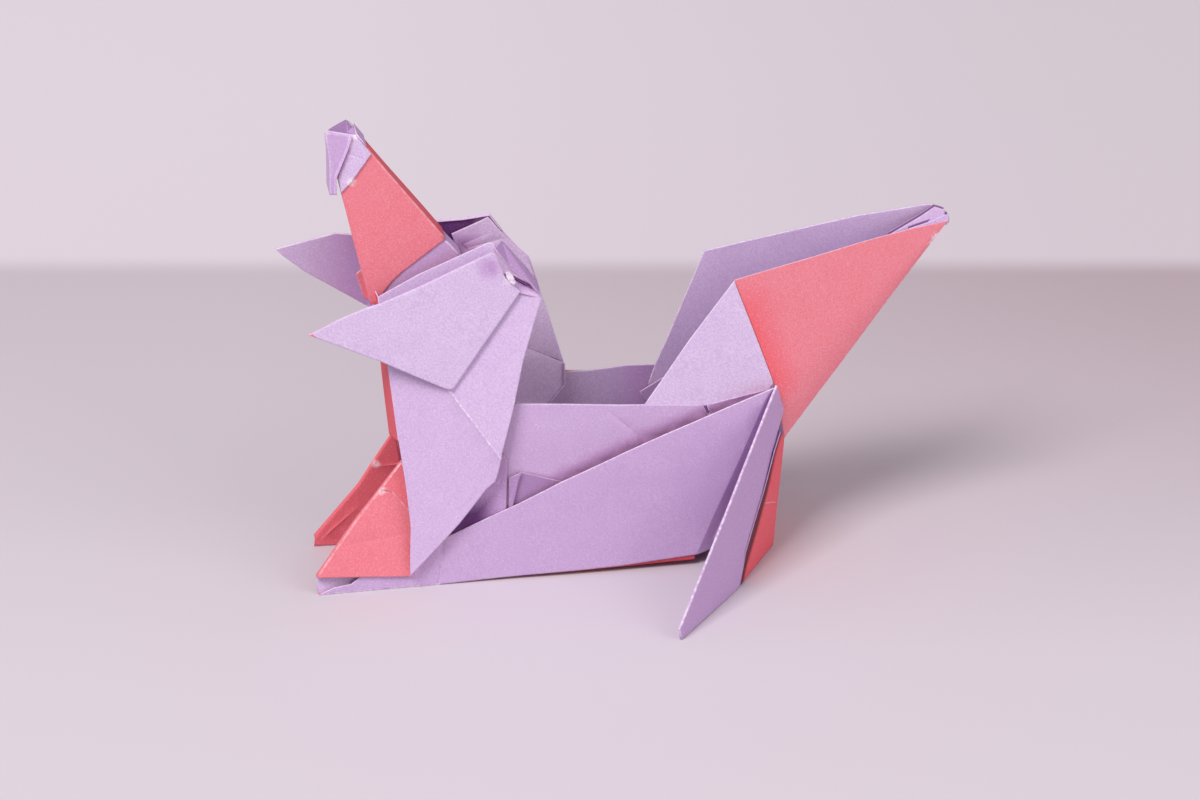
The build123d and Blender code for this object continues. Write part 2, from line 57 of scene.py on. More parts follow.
# A dog folded from one square of paper, lavender on one face and coral on the other.
# Fold places are shares of the square's side in side view, along X and Z, and half
# widths in millimetres say how far each fold stands from the middle plane.
MM = 0.001
SIDE = 150 * MM                # side of the square sheet
PAPER = 0.15 * MM              # thickness of the paper
MARGIN = Vector((0.1, 0.1, 0.1)) * MM    # the paper's middle stays this far inside the solid's box
SHARP_ANGLE = math.radians(32)
LAYER = 0.24 * MM              # spacing of pressed layers
NEAR = -1
FAR = 1
SHEET_NODE = "folded_sheet"

# The far ear's tip is the leftmost fold, and ties the sheet to the frame's own box
FAR_EAR_TIP_SHARE = (-0.282, 0.292)
SOLE_LIFT = 0.12 * MM          # the soles' folds stand this far above the floor
sheet_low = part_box(SHEET_NODE)[0]
SHIFT = Vector((sheet_low[0] - FAR_EAR_TIP_SHARE[0] * SIDE, 0, SOLE_LIFT))


# Helpers for places and flat facets

def millimetres(x, y, z):
    """A vector of plain millimetres."""
    return Vector((x, y, z)) * MM


def spot(place_share, half_mm):
    """A fold point, from its side-view place and its half width in millimetres."""
    x_share, z_share = place_share
    return Vector((x_share * SIDE, half_mm * MM, z_share * SIDE)) + SHIFT


def level(places, half_mm):
    """Fold points that share one half width."""
    return [spot(place, half_mm) for place in places]


def side_spots(folds, side):
    """Fold points of one side, each from its own place and half width."""
    return [spot(place, side * half) for place, half in folds]


def meet(point, direction, anchors):
    """Slides a point along a direction onto the plane of three anchors."""
    origin, second, third = anchors
    normal = (second - origin).cross(third - origin)
    return point - direction * ((point - origin).dot(normal) / direction.dot(normal))


def pane(anchors, place_shares):
    """One flat facet: side-view places carried across onto the plane of three anchors."""
    return [meet(point, Vector((0, 1, 0)), anchors) for point in level(place_shares, 0)]


def moved(points, shift):
    """Points moved by one shift."""
    return [point + shift for point in points]


def across(points, side, distance):
    """Points moved away from the middle plane on one side."""
    return moved(points, Vector((0, side * distance, 0)))


def mirrored(points):
    """The same points on the other side of the middle plane."""
    return [Vector((point.x, -point.y, point.z)) for point in points]


def flipped(facets):
    """The same facets with their lavender face turned to the other side."""
    return [facet[::-1] for facet in facets]


def turned(facets, side):
    """Facets whose lavender face looks out from the given side of the dog."""
    return facets if side == NEAR else flipped(facets)


def hem(points, shift):
    """A narrow strip along the edge of a facet, from its points in the facet's order."""
    return [[end, start, start + shift, end + shift] for start, end in zip(points, points[1:])]


def creases(points, depth_mm, worn=0):
    """Creases along a line of points, each with a depth along Y and its wear."""
    return [(start, end, depth_mm * MM, worn) for start, end in zip(points, points[1:])]


# The sheet: every run of paper becomes a finely cut, creased and gently waved mesh

CUT = 2.2 * MM                 # spacing of the cuts that let a run bend
FINE_CUT = 0.35 * MM           # spacing where a narrow shade crosses the run
FOLD_RADIUS = 0.13 * MM        # rounding of a pressed fold
FOLD_ANGLE = math.radians(4)   # facets that meet at less are one flat run
SOFT_ANGLE = math.radians(28)  # folds that meet at less stay soft in a rolled run
WORN_BAND = 0.17 * MM          # width of the worn band along edges and folds
NARROW = 0.12 * MM             # a facet narrower than this is all edge
CREASE_HALF = 0.20 * MM        # half width of a line pressed into a flat facet
CREASE_REACH = 3 * MM          # facets this near a crease are cut along it
SAME_POINT = 0.01 * MM         # corners nearer than this are one point
CUT_SNAP = 0.02 * MM           # an even cut this near a point goes through it
WAVE = 0.10 * MM               # height of the paper's slight waves
WAVE_LENGTH = 11 * MM
WAVE_SEED = 4
DARKEST = 2.6                  # the tone of the darkest painted shade, in a tight pocket, and the most that shows
runs = []
noise.seed_set(WAVE_SEED)


def distance_to(segment, point):
    """How far a point lies from a segment."""
    start, end = segment
    along = end - start
    share = max(0.0, min(1.0, (point - start).dot(along) / along.length_squared))
    return (point - start - along * share).length


def nearness(gap, reach):
    """How near something is, from 1 at no gap down to 0 at its reach."""
    return max(0.0, 1 - gap / reach)


def eased(near):
    """A nearness that starts and ends softly."""
    return near * near * (3 - 2 * near)


def mesh_of(shape, name):
    """A finished mesh made from a bmesh."""
    mesh = bpy.data.meshes.new(name)
    shape.to_mesh(mesh)
    shape.free()
    return mesh


def put_in_scene(name, data):
    """A new object in the scene."""
    thing = bpy.data.objects.new(name, data)
    bpy.context.scene.collection.objects.link(thing)
    return thing


def shaped_facets(facets):
    """A bmesh of flat facets that share their corners."""
    shape = bmesh.new()
    corners = {}
    for facet in facets:
        ring = []
        for point in facet:
            key = tuple(round(value / SAME_POINT) for value in point)
            if key not in corners:
                corners[key] = shape.verts.new(point)
            ring.append(corners[key])
        shape.faces.new(ring)
    shape.normal_update()
    return shape


def round_folds(shape, radius, least_angle):
    """Rounds every fold of a run with a small bevel."""
    folds = [edge for edge in shape.edges
             if len(edge.link_faces) == 2 and edge.calc_face_angle(0) > least_angle]
    if folds:
        bmesh.ops.bevel(shape, geom=folds, offset=radius, offset_type="OFFSET", segments=2,
                        profile=0.5, affect="EDGES", clamp_overlap=True, material=-1)


def broad_regions(shape):
    """Groups of facets broad enough to have a worn band round their outline."""
    broad = [face for face in shape.faces if 2 * face.calc_area() / face.calc_perimeter() > NARROW]
    waiting = set(broad)
    regions = []
    for first in broad:
        if first not in waiting:
            continue
        waiting.remove(first)
        region = [first]
        for face in region:
            for edge in face.edges:
                for other in edge.link_faces:
                    if other in waiting:
                        waiting.remove(other)
                        region.append(other)
        regions.append(region)
    return regions


def mark_wear(shape, amount):
    """Sets how worn each point may be: the given amount at edges and folds, none inside."""
    wear = shape.verts.layers.float.new("wear")
    for vert in shape.verts:
        vert[wear] = amount
    for region in broad_regions(shape):
        area = sum(face.calc_area() for face in region)
        outline = sum(edge.calc_length() for face in region for edge in face.edges
                      if sum(other in region for other in edge.link_faces) == 1)
        band = min(WORN_BAND, 0.5 * area / outline)
        bmesh.ops.inset_region(shape, faces=region, use_boundary=True, use_even_offset=True,
                               thickness=band, depth=0)
        for face in region:
            for vert in face.verts:
                vert[wear] = 0
    return wear


def cut_near(shape, segment, reach, place, direction):
    """Cuts the facets near a segment by one plane."""
    faces = [face for face in shape.faces if distance_to(segment, face.calc_center_median()) < reach]
    edges = dict.fromkeys(edge for face in faces for edge in face.edges)
    verts = dict.fromkeys(vert for face in faces for vert in face.verts)
    bmesh.ops.bisect_plane(shape, geom=list(verts) + list(edges) + faces, dist=SAME_POINT,
                           plane_co=place, plane_no=direction)


def cut_grid(shape, spacing):
    """Cuts a run by evenly spaced planes along X and Z, so that it can bend."""
    for axis in (0, 2):
        values = [vert.co[axis] for vert in shape.verts]
        direction = Vector((0, 0, 0))
        direction[axis] = 1
        for step in range(math.floor(min(values) / spacing) + 1, math.ceil(max(values) / spacing)):
            everything = list(shape.verts) + list(shape.edges) + list(shape.faces)
            bmesh.ops.bisect_plane(shape, geom=everything, dist=CUT_SNAP,
                                   plane_co=direction * (step * spacing), plane_no=direction)


def press_lines(shape, wear, lines):
    """Presses thin creases into flat facets."""
    for start, end, depth, worn in lines:
        sideways = (end - start).cross(Vector((0, 1, 0))).normalized()
        for offset in (-CREASE_HALF, 0, CREASE_HALF):
            cut_near(shape, (start, end), CREASE_REACH, start + sideways * offset, sideways)
        for vert in shape.verts:
            near = nearness(distance_to((start, end), vert.co), CREASE_HALF)
            vert.co.y += depth * near
            vert[wear] = max(vert[wear], worn * near)


def wave(point):
    """The slight wave of hand-folded paper at a place, the same for stacked layers."""
    return noise.noise_vector(point / WAVE_LENGTH) * WAVE


def add_run(facets, tone=0.3, worn=0.8, lines=(), bends=(), radius=FOLD_RADIUS, least_angle=FOLD_ANGLE,
            spacing=CUT):
    """Adds one run of paper, its facets facing the lavender side.

    Tone runs from 0, the palest paper, to 1, the full colour; the tone set for a run is partly the
    paper's own colour and partly painted light and shade. Beyond 1 it is painted shade only, on to the
    darkest painted shade of a tight pocket. Worn is how worn its edges and folds are. Lines are creases of
    start, end, depth and wear. Bends are of start, end, reach and push, and push the paper near that
    segment.
    """
    shape = shaped_facets(facets)
    round_folds(shape, radius, least_angle)
    wear = mark_wear(shape, worn)
    cut_grid(shape, spacing)
    press_lines(shape, wear, lines)
    depth = shape.verts.layers.float.new("tone")
    for vert in shape.verts:
        vert[depth] = tone(vert.co) if callable(tone) else tone
    for start, end, reach, push in bends:
        for vert in shape.verts:
            vert.co += push * eased(nearness(distance_to((start, end), vert.co), reach))
    for vert in shape.verts:
        vert.co += wave(vert.co)
    runs.append(mesh_of(shape, "run"))


def painted_shade_near(place, half_mm, reach, shallow, deep):
    """Painted shade: a tone that deepens round one place."""
    centre = spot(place, half_mm)

    def tone(point):
        return shallow + (deep - shallow) * eased(nearness((point - centre).length, reach))
    return tone


def painted_shade_along(points, reach, shallow, deep):
    """Painted shade: a tone that deepens towards a line through a few points."""
    def tone(point):
        gap = min(distance_to(segment, point) for segment in zip(points, points[1:]))
        return shallow + (deep - shallow) * nearness(gap, reach)
    return tone


# Muzzle and nose

NOSE_PEAK_SHARE = (-0.2188, 0.4213)
NOSE_LEFT_SHARE = (-0.2360, 0.4200)
NOSE_VALLEY_SHARE = (-0.2190, 0.4130)
BRIDGE_TOP_SHARE = (-0.2129, 0.4152)
BRIDGE_FOOT_SHARE = (-0.138, 0.317)
CHIN_SHARE = (-0.205, 0.260)
MUZZLE_SHARES = [
    NOSE_LEFT_SHARE, (-0.227, 0.365), CHIN_SHARE, (-0.200, 0.263), (-0.186, 0.280),
    (-0.175, 0.290), BRIDGE_FOOT_SHARE, BRIDGE_TOP_SHARE,
]
MUZZLE_HEM_SHARES = [(-0.2235, 0.3620), (-0.2025, 0.2650)]
NOSE_CAP_SHARES = [
    NOSE_LEFT_SHARE, (-0.227, 0.365), (-0.218, 0.374), (-0.2005, 0.3985), BRIDGE_TOP_SHARE,
]
NOSE_CREASE_SHARES = [(-0.2180, 0.3985), (-0.2136, 0.3972), (-0.2065, 0.3935)]
NOSE_PAINTED_SHADOW_SHARES = [(-0.2205, 0.4040), (-0.2300, 0.3800)]
NOSE_BAND_SHARES = [(-0.2129, 0.4160), (-0.2050, 0.4055)]
NOSE_FLAP_SHARES = [
    (-0.2390, 0.4170), (-0.2360, 0.3950), (-0.2365, 0.3640), (-0.2325, 0.3640),
    (-0.2320, 0.3800), (-0.2215, 0.4040), (-0.2180, 0.4150), (-0.2362, 0.4192),
]
CHEEK_SHARES = [
    (-0.208, 0.300), (-0.203, 0.262), (-0.150, 0.262), (-0.124, 0.299), (-0.1405, 0.3185),
]
CHIN_FLAP_SHARES = [(-0.2145, 0.2800), (-0.2080, 0.2560), (-0.2000, 0.2560), (-0.2100, 0.2835)]
MUZZLE_TOP_HALF = 1.8
MUZZLE_HALF = 2.2
NOSE_HALF = 2.3
PINCH_HALF = -1.3
NOSE_CAP_STEP = 0.2            # millimetres outside the muzzle
NOSE_FLAP_STEP = 0.3
CHEEK_STEP = -0.15
CHIN_FLAP_STEP = -0.6


def muzzle_anchors(side, step_mm):
    """Three points that set the plane of one side of the muzzle."""
    return side_spots([
        (BRIDGE_TOP_SHARE, MUZZLE_TOP_HALF + step_mm), (BRIDGE_FOOT_SHARE, MUZZLE_HALF + step_mm),
        (CHIN_SHARE, MUZZLE_HALF + step_mm),
    ], side)


def fold_muzzle():
    """The coral muzzle with its bridge, the lavender cheek inside it and the flap at its chin."""
    plane = muzzle_anchors(NEAR, 0)
    near = pane(plane, MUZZLE_SHARES)
    far = pane(muzzle_anchors(FAR, 0), MUZZLE_SHARES[1:] + [NOSE_PEAK_SHARE])
    bridge = [near[7], near[6], far[5], far[6]]
    sides = [(face[0], (face[2] - face[0]).cross(face[6] - face[0]).normalized()) for face in (near, far)]

    # Painted shade: the bridge, turned from the light, is set deeper than the muzzle's sides
    def painted_shade_on_the_bridge(point):
        inward = min(abs((point - corner).dot(normal)) for corner, normal in sides)
        return 0.25 if inward < PAPER else 1.3

    add_run(flipped([near, bridge, far[::-1]]), tone=painted_shade_on_the_bridge, worn=0.45,
            lines=creases(pane(plane, MUZZLE_HEM_SHARES), 0.07))
    near, far = [pane(muzzle_anchors(side, CHEEK_STEP), CHEEK_SHARES) for side in (NEAR, FAR)]
    bridge = [near[-1], near[-2], far[-2], far[-1]]
    # Painted shade: the cheek under the coral muzzle is set deeper
    add_run([near, bridge, far[::-1]], tone=0.85, worn=0.5)
    chin = pane(muzzle_anchors(FAR, CHIN_FLAP_STEP), CHIN_FLAP_SHARES)
    add_run(flipped([chin]), worn=0.6)


def fold_nose():
    """The lavender cap of the nose, its hollow top and the flap wrapped round its front."""
    plane = muzzle_anchors(NEAR, NOSE_CAP_STEP)
    far_plane = muzzle_anchors(FAR, NOSE_CAP_STEP)
    near = pane(plane, NOSE_CAP_SHARES)
    far = pane(far_plane, NOSE_CAP_SHARES + [NOSE_PEAK_SHARE])
    # Painted shadow: the cap deepens to the darkest along the right edge of the flap
    shade = painted_shade_along(pane(plane, NOSE_PAINTED_SHADOW_SHARES), 0.45 * MM, 0, DARKEST)
    add_run([near], tone=shade, worn=0.35, lines=creases(pane(plane, NOSE_CREASE_SHARES), 0.05, 0.1),
            spacing=FINE_CUT)
    far[0] = spot(NOSE_LEFT_SHARE, PINCH_HALF)
    add_run(flipped([[far[0], far[1], far[5]], far[1:]]))
    near_band = moved(pane(plane, NOSE_BAND_SHARES), millimetres(0.03, -0.06, 0.05))
    far_band = moved(pane(far_plane, NOSE_BAND_SHARES), millimetres(0.12, 0, 0.09))
    add_run([near_band + far_band[::-1]], tone=0.9, worn=0.4)
    rim_left, rim_right = near[0], near[-1]
    far_left, far_right, peak = far[0], far[4], far[5]
    valley = spot(NOSE_VALLEY_SHARE, 0)
    left = [[rim_left, valley, rim_right], [rim_left, far_left, valley], [far_left, peak, valley]]
    right = [[valley, peak, far_right], [valley, far_right, rim_right]]
    # Painted shade inside the hollow top, deeper on the left facets than on the right
    add_run(flipped(left), tone=1.7, worn=0.2, spacing=1 * MM)
    add_run(flipped(right), tone=1.1, worn=0.2, spacing=1 * MM)
    near = pane(side_spots([
        (NOSE_FLAP_SHARES[0], NOSE_HALF), (NOSE_FLAP_SHARES[2], NOSE_HALF),
        (NOSE_FLAP_SHARES[-2], MUZZLE_TOP_HALF + NOSE_FLAP_STEP),
    ], NEAR), NOSE_FLAP_SHARES)
    far = mirrored(near)
    far[0].y = PINCH_HALF * MM
    front = [[near[i + 1], near[i], far[i], far[i + 1]] for i in range(2)]
    lip = hem(near[3:7], millimetres(0.16, -0.30, 0))
    add_run([near] + front + [far[1:7][::-1]] + lip, tone=0.7, worn=0.45, radius=0.10 * MM)


# Neck, throat and ears

CROWN_SHARE = (-0.199, 0.271)
CHEST_TIP_SHARE = (-0.182, 0.014)
SHOULDER_SHARE = (-0.098, 0.122)
NAPE_SHARE = (-0.059, 0.268)
BREAST_SHARES = [(-0.187, 0.140), (-0.183, 0.103), (-0.180, 0.061), CHEST_TIP_SHARE]
NECK_FRONT_SHARES = [
    CROWN_SHARE, (-0.193, 0.209), *BREAST_SHARES, (-0.137, 0.063), (-0.112, 0.094),
    (-0.104, 0.101), (-0.101, 0.109), SHOULDER_SHARE,
]
NECK_REAR_SHARES = [
    CROWN_SHARE, SHOULDER_SHARE, (-0.097, 0.128), (-0.087, 0.164), (-0.076, 0.212),
    NAPE_SHARE, (-0.066, 0.2725), (-0.078, 0.275), (-0.086, 0.281), (-0.090, 0.286),
    (-0.0965, 0.301), (-0.0985, 0.3170), (-0.103, 0.3175), (-0.163, 0.2908),
]
THROAT_TOP_Z_SHARE = 0.275
THROAT_FOOT_SHARE = (-0.191, 0.129)
EAR_HINGE_TOP_SHARE = (-0.078, 0.276)
EAR_HINGE_FOOT_SHARE = (-0.139, 0.188)
NEAR_EAR_TIP_SHARE = (-0.2625, 0.2492)
NEAR_EAR_SHARES = [
    NEAR_EAR_TIP_SHARE, (-0.201, 0.220), (-0.146, 0.190), EAR_HINGE_FOOT_SHARE,
    EAR_HINGE_TOP_SHARE, (-0.091, 0.289), (-0.0965, 0.3050), (-0.0985, 0.3112),
    (-0.102, 0.3125), (-0.165, 0.286), (-0.199, 0.273), (-0.211, 0.270), (-0.236, 0.261),
]
EAR_CURL_SHARES = [
    (-0.0879, 0.2859), (-0.0840, 0.2824), (-0.0818, 0.2850), (-0.0848, 0.2921),
    (-0.0882, 0.2956), (-0.0908, 0.2949), (-0.0904, 0.2907),
]
EAR_CREASE_SHARES = [(-0.1930, 0.2735), (-0.1890, 0.2640)]
EAR_DENT_SHADE_SHARE = (-0.1041, 0.2990)
FAR_EAR_TOP_SHARE = (-0.215, 0.305)
FAR_EAR_FOOT_SHARE = (-0.203, 0.230)
FAR_EAR_TIP_SHARES = [
    FAR_EAR_TIP_SHARE, (-0.256, 0.268), FAR_EAR_FOOT_SHARE, FAR_EAR_TOP_SHARE, (-0.228, 0.307),
]
CROWN_HALF = 3.6
CHEST_TIP_HALF = 8.5
SHOULDER_HALF = 8.2
NAPE_HALF = 6.5
EAR_FOLD_HALF = 6.4
EAR_LOW_HALF = 6.7
NEAR_EAR_HALF = 6.8
EAR_DENT_SHADE_HALF = 6.7
EAR_CURL_HALF = 6.95
FAR_EAR_HALF = 7.6
FAR_EAR_TOP_HALF = 6.2
FAR_EAR_FOOT_HALF = 9.0


def neck_anchors(side):
    """The crown, chest tip, shoulder and nape points of one side."""
    return side_spots([
        (CROWN_SHARE, CROWN_HALF), (CHEST_TIP_SHARE, CHEST_TIP_HALF),
        (SHOULDER_SHARE, SHOULDER_HALF), (NAPE_SHARE, NAPE_HALF),
    ], side)


def fold_neck(side):
    """One side of the neck, creased from crown to shoulder."""
    crown, tip, shoulder, nape = neck_anchors(side)
    front = pane([crown, tip, shoulder], NECK_FRONT_SHARES)
    rear = pane([crown, shoulder, nape], NECK_REAR_SHARES)
    across_crease = (shoulder - crown).cross(Vector((0, 1, 0))).normalized()

    # Painted shade: the panel behind the crease is set a little deeper
    def painted_shade_behind_crease(point):
        return 0.35 if (point - crown).dot(across_crease) < 0 else 0.2

    rise = (crown.lerp(shoulder, 0.6), shoulder, 5 * MM, millimetres(0, side * 0.25, 0))
    add_run(turned([front, rear], side), tone=painted_shade_behind_crease, worn=0.6, bends=[rise],
            lines=creases([crown.lerp(shoulder, 0.45), shoulder], side * 0.14, 0.9))


def fold_throat():
    """The coral ridge down the chest between the two sides of the neck."""
    crown, tip, shoulder, _ = neck_anchors(NEAR)
    breast = pane([crown, tip, shoulder], BREAST_SHARES)[0]
    foot = spot(THROAT_FOOT_SHARE, 0)
    top = meet(spot((0, THROAT_TOP_Z_SHARE), 0), Vector((1, 0, 0)), [crown, breast, foot])
    near = [crown, top, foot, breast]
    # Painted shade: the throat strip lies in the ear's shadow
    add_run(flipped([near, mirrored(near)[::-1]]), tone=1.25, worn=0.3)


def fold_near_ear():
    """The near ear laid over the neck: two layers rolled over along the top edge."""
    anchors = across(side_spots([
        (EAR_HINGE_TOP_SHARE, EAR_FOLD_HALF), (EAR_HINGE_FOOT_SHARE, EAR_LOW_HALF),
        (NEAR_EAR_TIP_SHARE, NEAR_EAR_HALF),
    ], NEAR), NEAR, LAYER)
    ear = pane(anchors, NEAR_EAR_SHARES)
    inner = across(ear, NEAR, -0.8 * LAYER)
    rolled = [[ear[i + 1], ear[i], inner[i], inner[i + 1]] for i in range(8, 12)]
    hinge = hem(ear[3:5], Vector((0, 1.5 * LAYER, 0)))
    # Painted shade of a soft hollow, deepening round one place; the paper there stays flat
    dent_shade = painted_shade_near(EAR_DENT_SHADE_SHARE, NEAR * EAR_DENT_SHADE_HALF, 2.4 * MM, 0, 1.35)
    add_run([ear] + rolled + hinge + [inner[::-1]], tone=dent_shade, worn=0.35, spacing=1.2 * MM,
            lines=creases(pane(anchors, EAR_CREASE_SHARES), 0.06))
    tip = ear[0] + millimetres(0, -0.08, 0)
    add_run([[tip + millimetres(1.1, 0, -0.42), tip, tip + millimetres(0.5, 0, 0.16)]], worn=0.3)
    add_run([level(EAR_CURL_SHARES, NEAR * EAR_CURL_HALF)], tone=0, worn=0.6)


def fold_far_ear():
    """The far ear with its tip twisted down along a crease."""
    hinge_top, hinge_foot, top, foot, tip = side_spots([
        (EAR_HINGE_TOP_SHARE, EAR_FOLD_HALF), (EAR_HINGE_FOOT_SHARE, EAR_LOW_HALF),
        (FAR_EAR_TOP_SHARE, FAR_EAR_TOP_HALF), (FAR_EAR_FOOT_SHARE, FAR_EAR_FOOT_HALF),
        (FAR_EAR_TIP_SHARE, FAR_EAR_HALF),
    ], FAR)
    root_x = top.x

    # Painted shade: the far ear is full colour at its root and paler towards the tip
    def painted_shade_towards_the_root(point):
        return max(0.1, min(1.0, 1 + (point.x - root_x) / (7 * MM)))

    facets = [
        pane([top, foot, tip], FAR_EAR_TIP_SHARES), [foot, hinge_foot, hinge_top],
        [foot, hinge_top, top],
    ]
    add_run(facets, tone=painted_shade_towards_the_root, worn=0.6)
    add_run(flipped([across(facet, FAR, 0.8 * LAYER) for facet in facets]), worn=0.6)


# Hood behind the muzzle

HOOD_FRONT_SHARE = (-0.143, 0.322)
HOOD_TOP_SHARE = (-0.094, 0.322)
HOOD_REAR_SHARE = (-0.0265, 0.169)
HOOD_CREASE_SHARE = (-0.074, 0.196)
HOOD_FOOT_SHARE = (-0.0725, 0.137)
HOOD_UPPER_SHARES = [
    HOOD_FRONT_SHARE, (-0.150, 0.290), HOOD_CREASE_SHARE, HOOD_REAR_SHARE,
    (-0.042, 0.223), (-0.046, 0.235), (-0.052, 0.256), (-0.0585, 0.277), (-0.068, 0.287),
    (-0.083, 0.306), HOOD_TOP_SHARE, (-0.117, 0.321),
]
HOOD_LOWER_SHARES = [
    HOOD_CREASE_SHARE, (-0.100, 0.150), HOOD_FOOT_SHARE, (-0.0420, 0.1312), (-0.0262, 0.1480),
    HOOD_REAR_SHARE,
]
HOOD_LOW_CREASE_SHARES = [(-0.0464, 0.1494), (-0.0290, 0.1680)]
HOOD_LAYER_SHARES = [
    (-0.1285, 0.3090), (-0.1200, 0.2800), (-0.0745, 0.2620), (-0.0520, 0.2480), (-0.0535, 0.2560),
    (-0.0600, 0.2780), (-0.0725, 0.2910), (-0.0835, 0.3050), (-0.0955, 0.3205), (-0.1012, 0.3182),
]
HOOD_DENT_SHARES = [
    ((-0.1250, 0.3040), (-0.1152, 0.2925)), ((-0.1160, 0.2990), (-0.1078, 0.3018)),
    ((-0.1010, 0.2960), (-0.0850, 0.2985)),
]
HOOD_CORNER_SHARE = (-0.1233, 0.3150)
HOOD_POCKET_SHARE = (-0.1210, 0.2960)
HOOD_HALF = 4.4
HOOD_FRONT_HALF = 3.2
HOOD_REAR_HALF = 5.8
HOOD_FOOT_HALF = 4.3
HOOD_CORNER_HALF = 3.8
HOOD_POCKET_HALF = 3.0
HOOD_LAYER_GAP = 0.7 * MM
BAND_LOW = [((-0.0985, 0.3130), 5.2), ((-0.0844, 0.2925), 5.5), ((-0.0678, 0.2812), 5.5),
            ((-0.0603, 0.2702), 5.6)]
BAND_HIGH = [((-0.0884, 0.3106), 3.0), ((-0.0691, 0.2882), 3.0), ((-0.0600, 0.2757), 3.2)]
SLIT = [((-0.0860, 0.2890), 5.3), ((-0.0690, 0.2775), 5.0), ((-0.0608, 0.2670), 5.2)]
NAPE_EDGE = [((-0.0870, 0.2810), 6.2), ((-0.0780, 0.2752), 6.4), ((-0.0585, 0.2672), 6.5)]


def fold_hood():
    """The far inner wall of head and neck: rolled top edge, crease, and lip at its foot."""
    plane = side_spots([
        (HOOD_FRONT_SHARE, HOOD_FRONT_HALF), (HOOD_TOP_SHARE, HOOD_HALF),
        (HOOD_REAR_SHARE, HOOD_REAR_HALF),
    ], FAR)
    upper = pane(plane, HOOD_UPPER_SHARES)
    crease, rear = upper[2], upper[3]
    low_plane = [crease, spot(HOOD_FOOT_SHARE, HOOD_FOOT_HALF), rear]
    lower = pane(low_plane, HOOD_LOWER_SHARES)
    brow = hem(upper[9:] + upper[:1], millimetres(0, -0.36, -0.22))
    lip = hem(lower[2:6], millimetres(0, -0.55, 0.16))
    lines = creases(pane(low_plane, HOOD_LOW_CREASE_SHARES), 0.05, 0.2) + creases([crease, rear], 0.08)
    # Painted shade, deepening to the darkest in the corner behind the muzzle
    corner = painted_shade_near(HOOD_CORNER_SHARE, HOOD_CORNER_HALF, 6.5 * MM, 0, 3.6)
    add_run([upper, lower] + lip, tone=corner, worn=0.5, lines=lines)
    add_run(flipped(brow), tone=0.2, worn=0.6)
    back = millimetres(-0.10, 0.24, -0.12)
    add_run(flipped([moved(facet, back) for facet in (upper, lower)]), tone=0.2, worn=0.6)
    front_plane = across(plane, FAR, -HOOD_LAYER_GAP)
    dents = []
    for places in HOOD_DENT_SHARES:
        dents += creases(pane(front_plane, places), 0.14)
    # Painted shade, deepening round the pocket of the front layer
    pocket = painted_shade_near(HOOD_POCKET_SHARE, HOOD_POCKET_HALF, 3.2 * MM, 0.1, 1.8)
    add_run([pane(front_plane, HOOD_LAYER_SHARES)], tone=pocket, worn=0.3, lines=dents)


def fold_roof():
    """The rolled band over the near side of the head, and the slit under it, with painted shade on the
    band and in the slit.
    """
    low, high, slit, edge = [side_spots(folds, NEAR) for folds in (BAND_LOW, BAND_HIGH, SLIT, NAPE_EDGE)]
    band = [[low[0], low[1], high[0]], [low[1], low[2], high[0]], [low[2], high[1], high[0]]]
    band += [[low[2], low[3], high[1]], [low[3], high[2], high[1]]]
    # Painted shade: the band is set deeper than full colour
    add_run(band, tone=1.3, worn=0.25, spacing=1.1 * MM)
    shoulder = [[edge[0], edge[1], slit[0]], [edge[1], slit[1], slit[0]]]
    shoulder += [[edge[1], edge[2], slit[1]], [edge[2], slit[2], slit[1]]]
    # Painted shade, deepening along the slit
    add_run(shoulder, tone=painted_shade_along(slit, 0.9 * MM, 0.5, 4), worn=0.2, spacing=FINE_CUT)
    # Strips of the darkest painted shade, put in the slit where only shadow shows
    gap = moved(slit, millimetres(0.02, -0.30, 0.12))
    low_gap = moved(gap, millimetres(0.10, -0.10, -0.28))
    add_run([[low_gap[i], low_gap[i + 1], gap[i + 1], gap[i]] for i in range(2)], tone=DARKEST, worn=0)


# Front legs, side panels and the trough back

PAW_SHARES = {
    NEAR: [(-0.184, 0.115), (-0.225, 0.068), (-0.265, 0.018)],
    FAR: [(-0.1835, 0.120), (-0.217, 0.063), (-0.258, 0.009)],
}
PAW_HEEL_SHARE = (-0.179, 0.0115)
PAW_BACK_SHARE = (-0.176, 0.060)
PAW_CUFF_SHARES = [
    (-0.1844, 0.1150), (-0.2042, 0.0921), (-0.1953, 0.0906), (-0.1790, 0.0699), (-0.1760, 0.0900),
]
PAW_SOFT_SHARES = [(-0.1800, 0.0510), (-0.2400, 0.0440)]
FAR_PAW_CREASE_SHARES = [
    [(-0.1990, 0.0830), (-0.1783, 0.0850)],
    [(-0.2540, 0.0030), (-0.2433, 0.0164), (-0.2185, 0.0400)],
]
SOLE_TIP_SHARES = {NEAR: (-0.264, 0.0), FAR: (-0.259, 0.0)}
SOLE_HEEL_SHARE = (-0.155, 0.0)
SOLE_INNER_HEEL_SHARE = (-0.179, 0.0)
STRIP_SHARES = [
    SOLE_HEEL_SHARE, (-0.150, 0.046), (-0.172, 0.034), (-0.1745, 0.0165), (-0.222, 0.0165),
    (-0.228, 0.0125), (-0.234, 0.008), (-0.250, 0.006),
]
FLANK_FRONT_SHARE = (-0.150, 0.046)
FLANK_REAR_SHARE = (0.1475, 0.1715)
FLANK_TURN_SHARE = (0.1440, 0.1700)
HOCK_SHARE = (0.0795, 0.0108)
FLANK_SHARES = [
    SOLE_HEEL_SHARE, (0.009, 0.0055), HOCK_SHARE, FLANK_TURN_SHARE, (0.057, 0.137),
    (0.009, 0.117), (-0.044, 0.094), (-0.083, 0.074), FLANK_FRONT_SHARE,
]
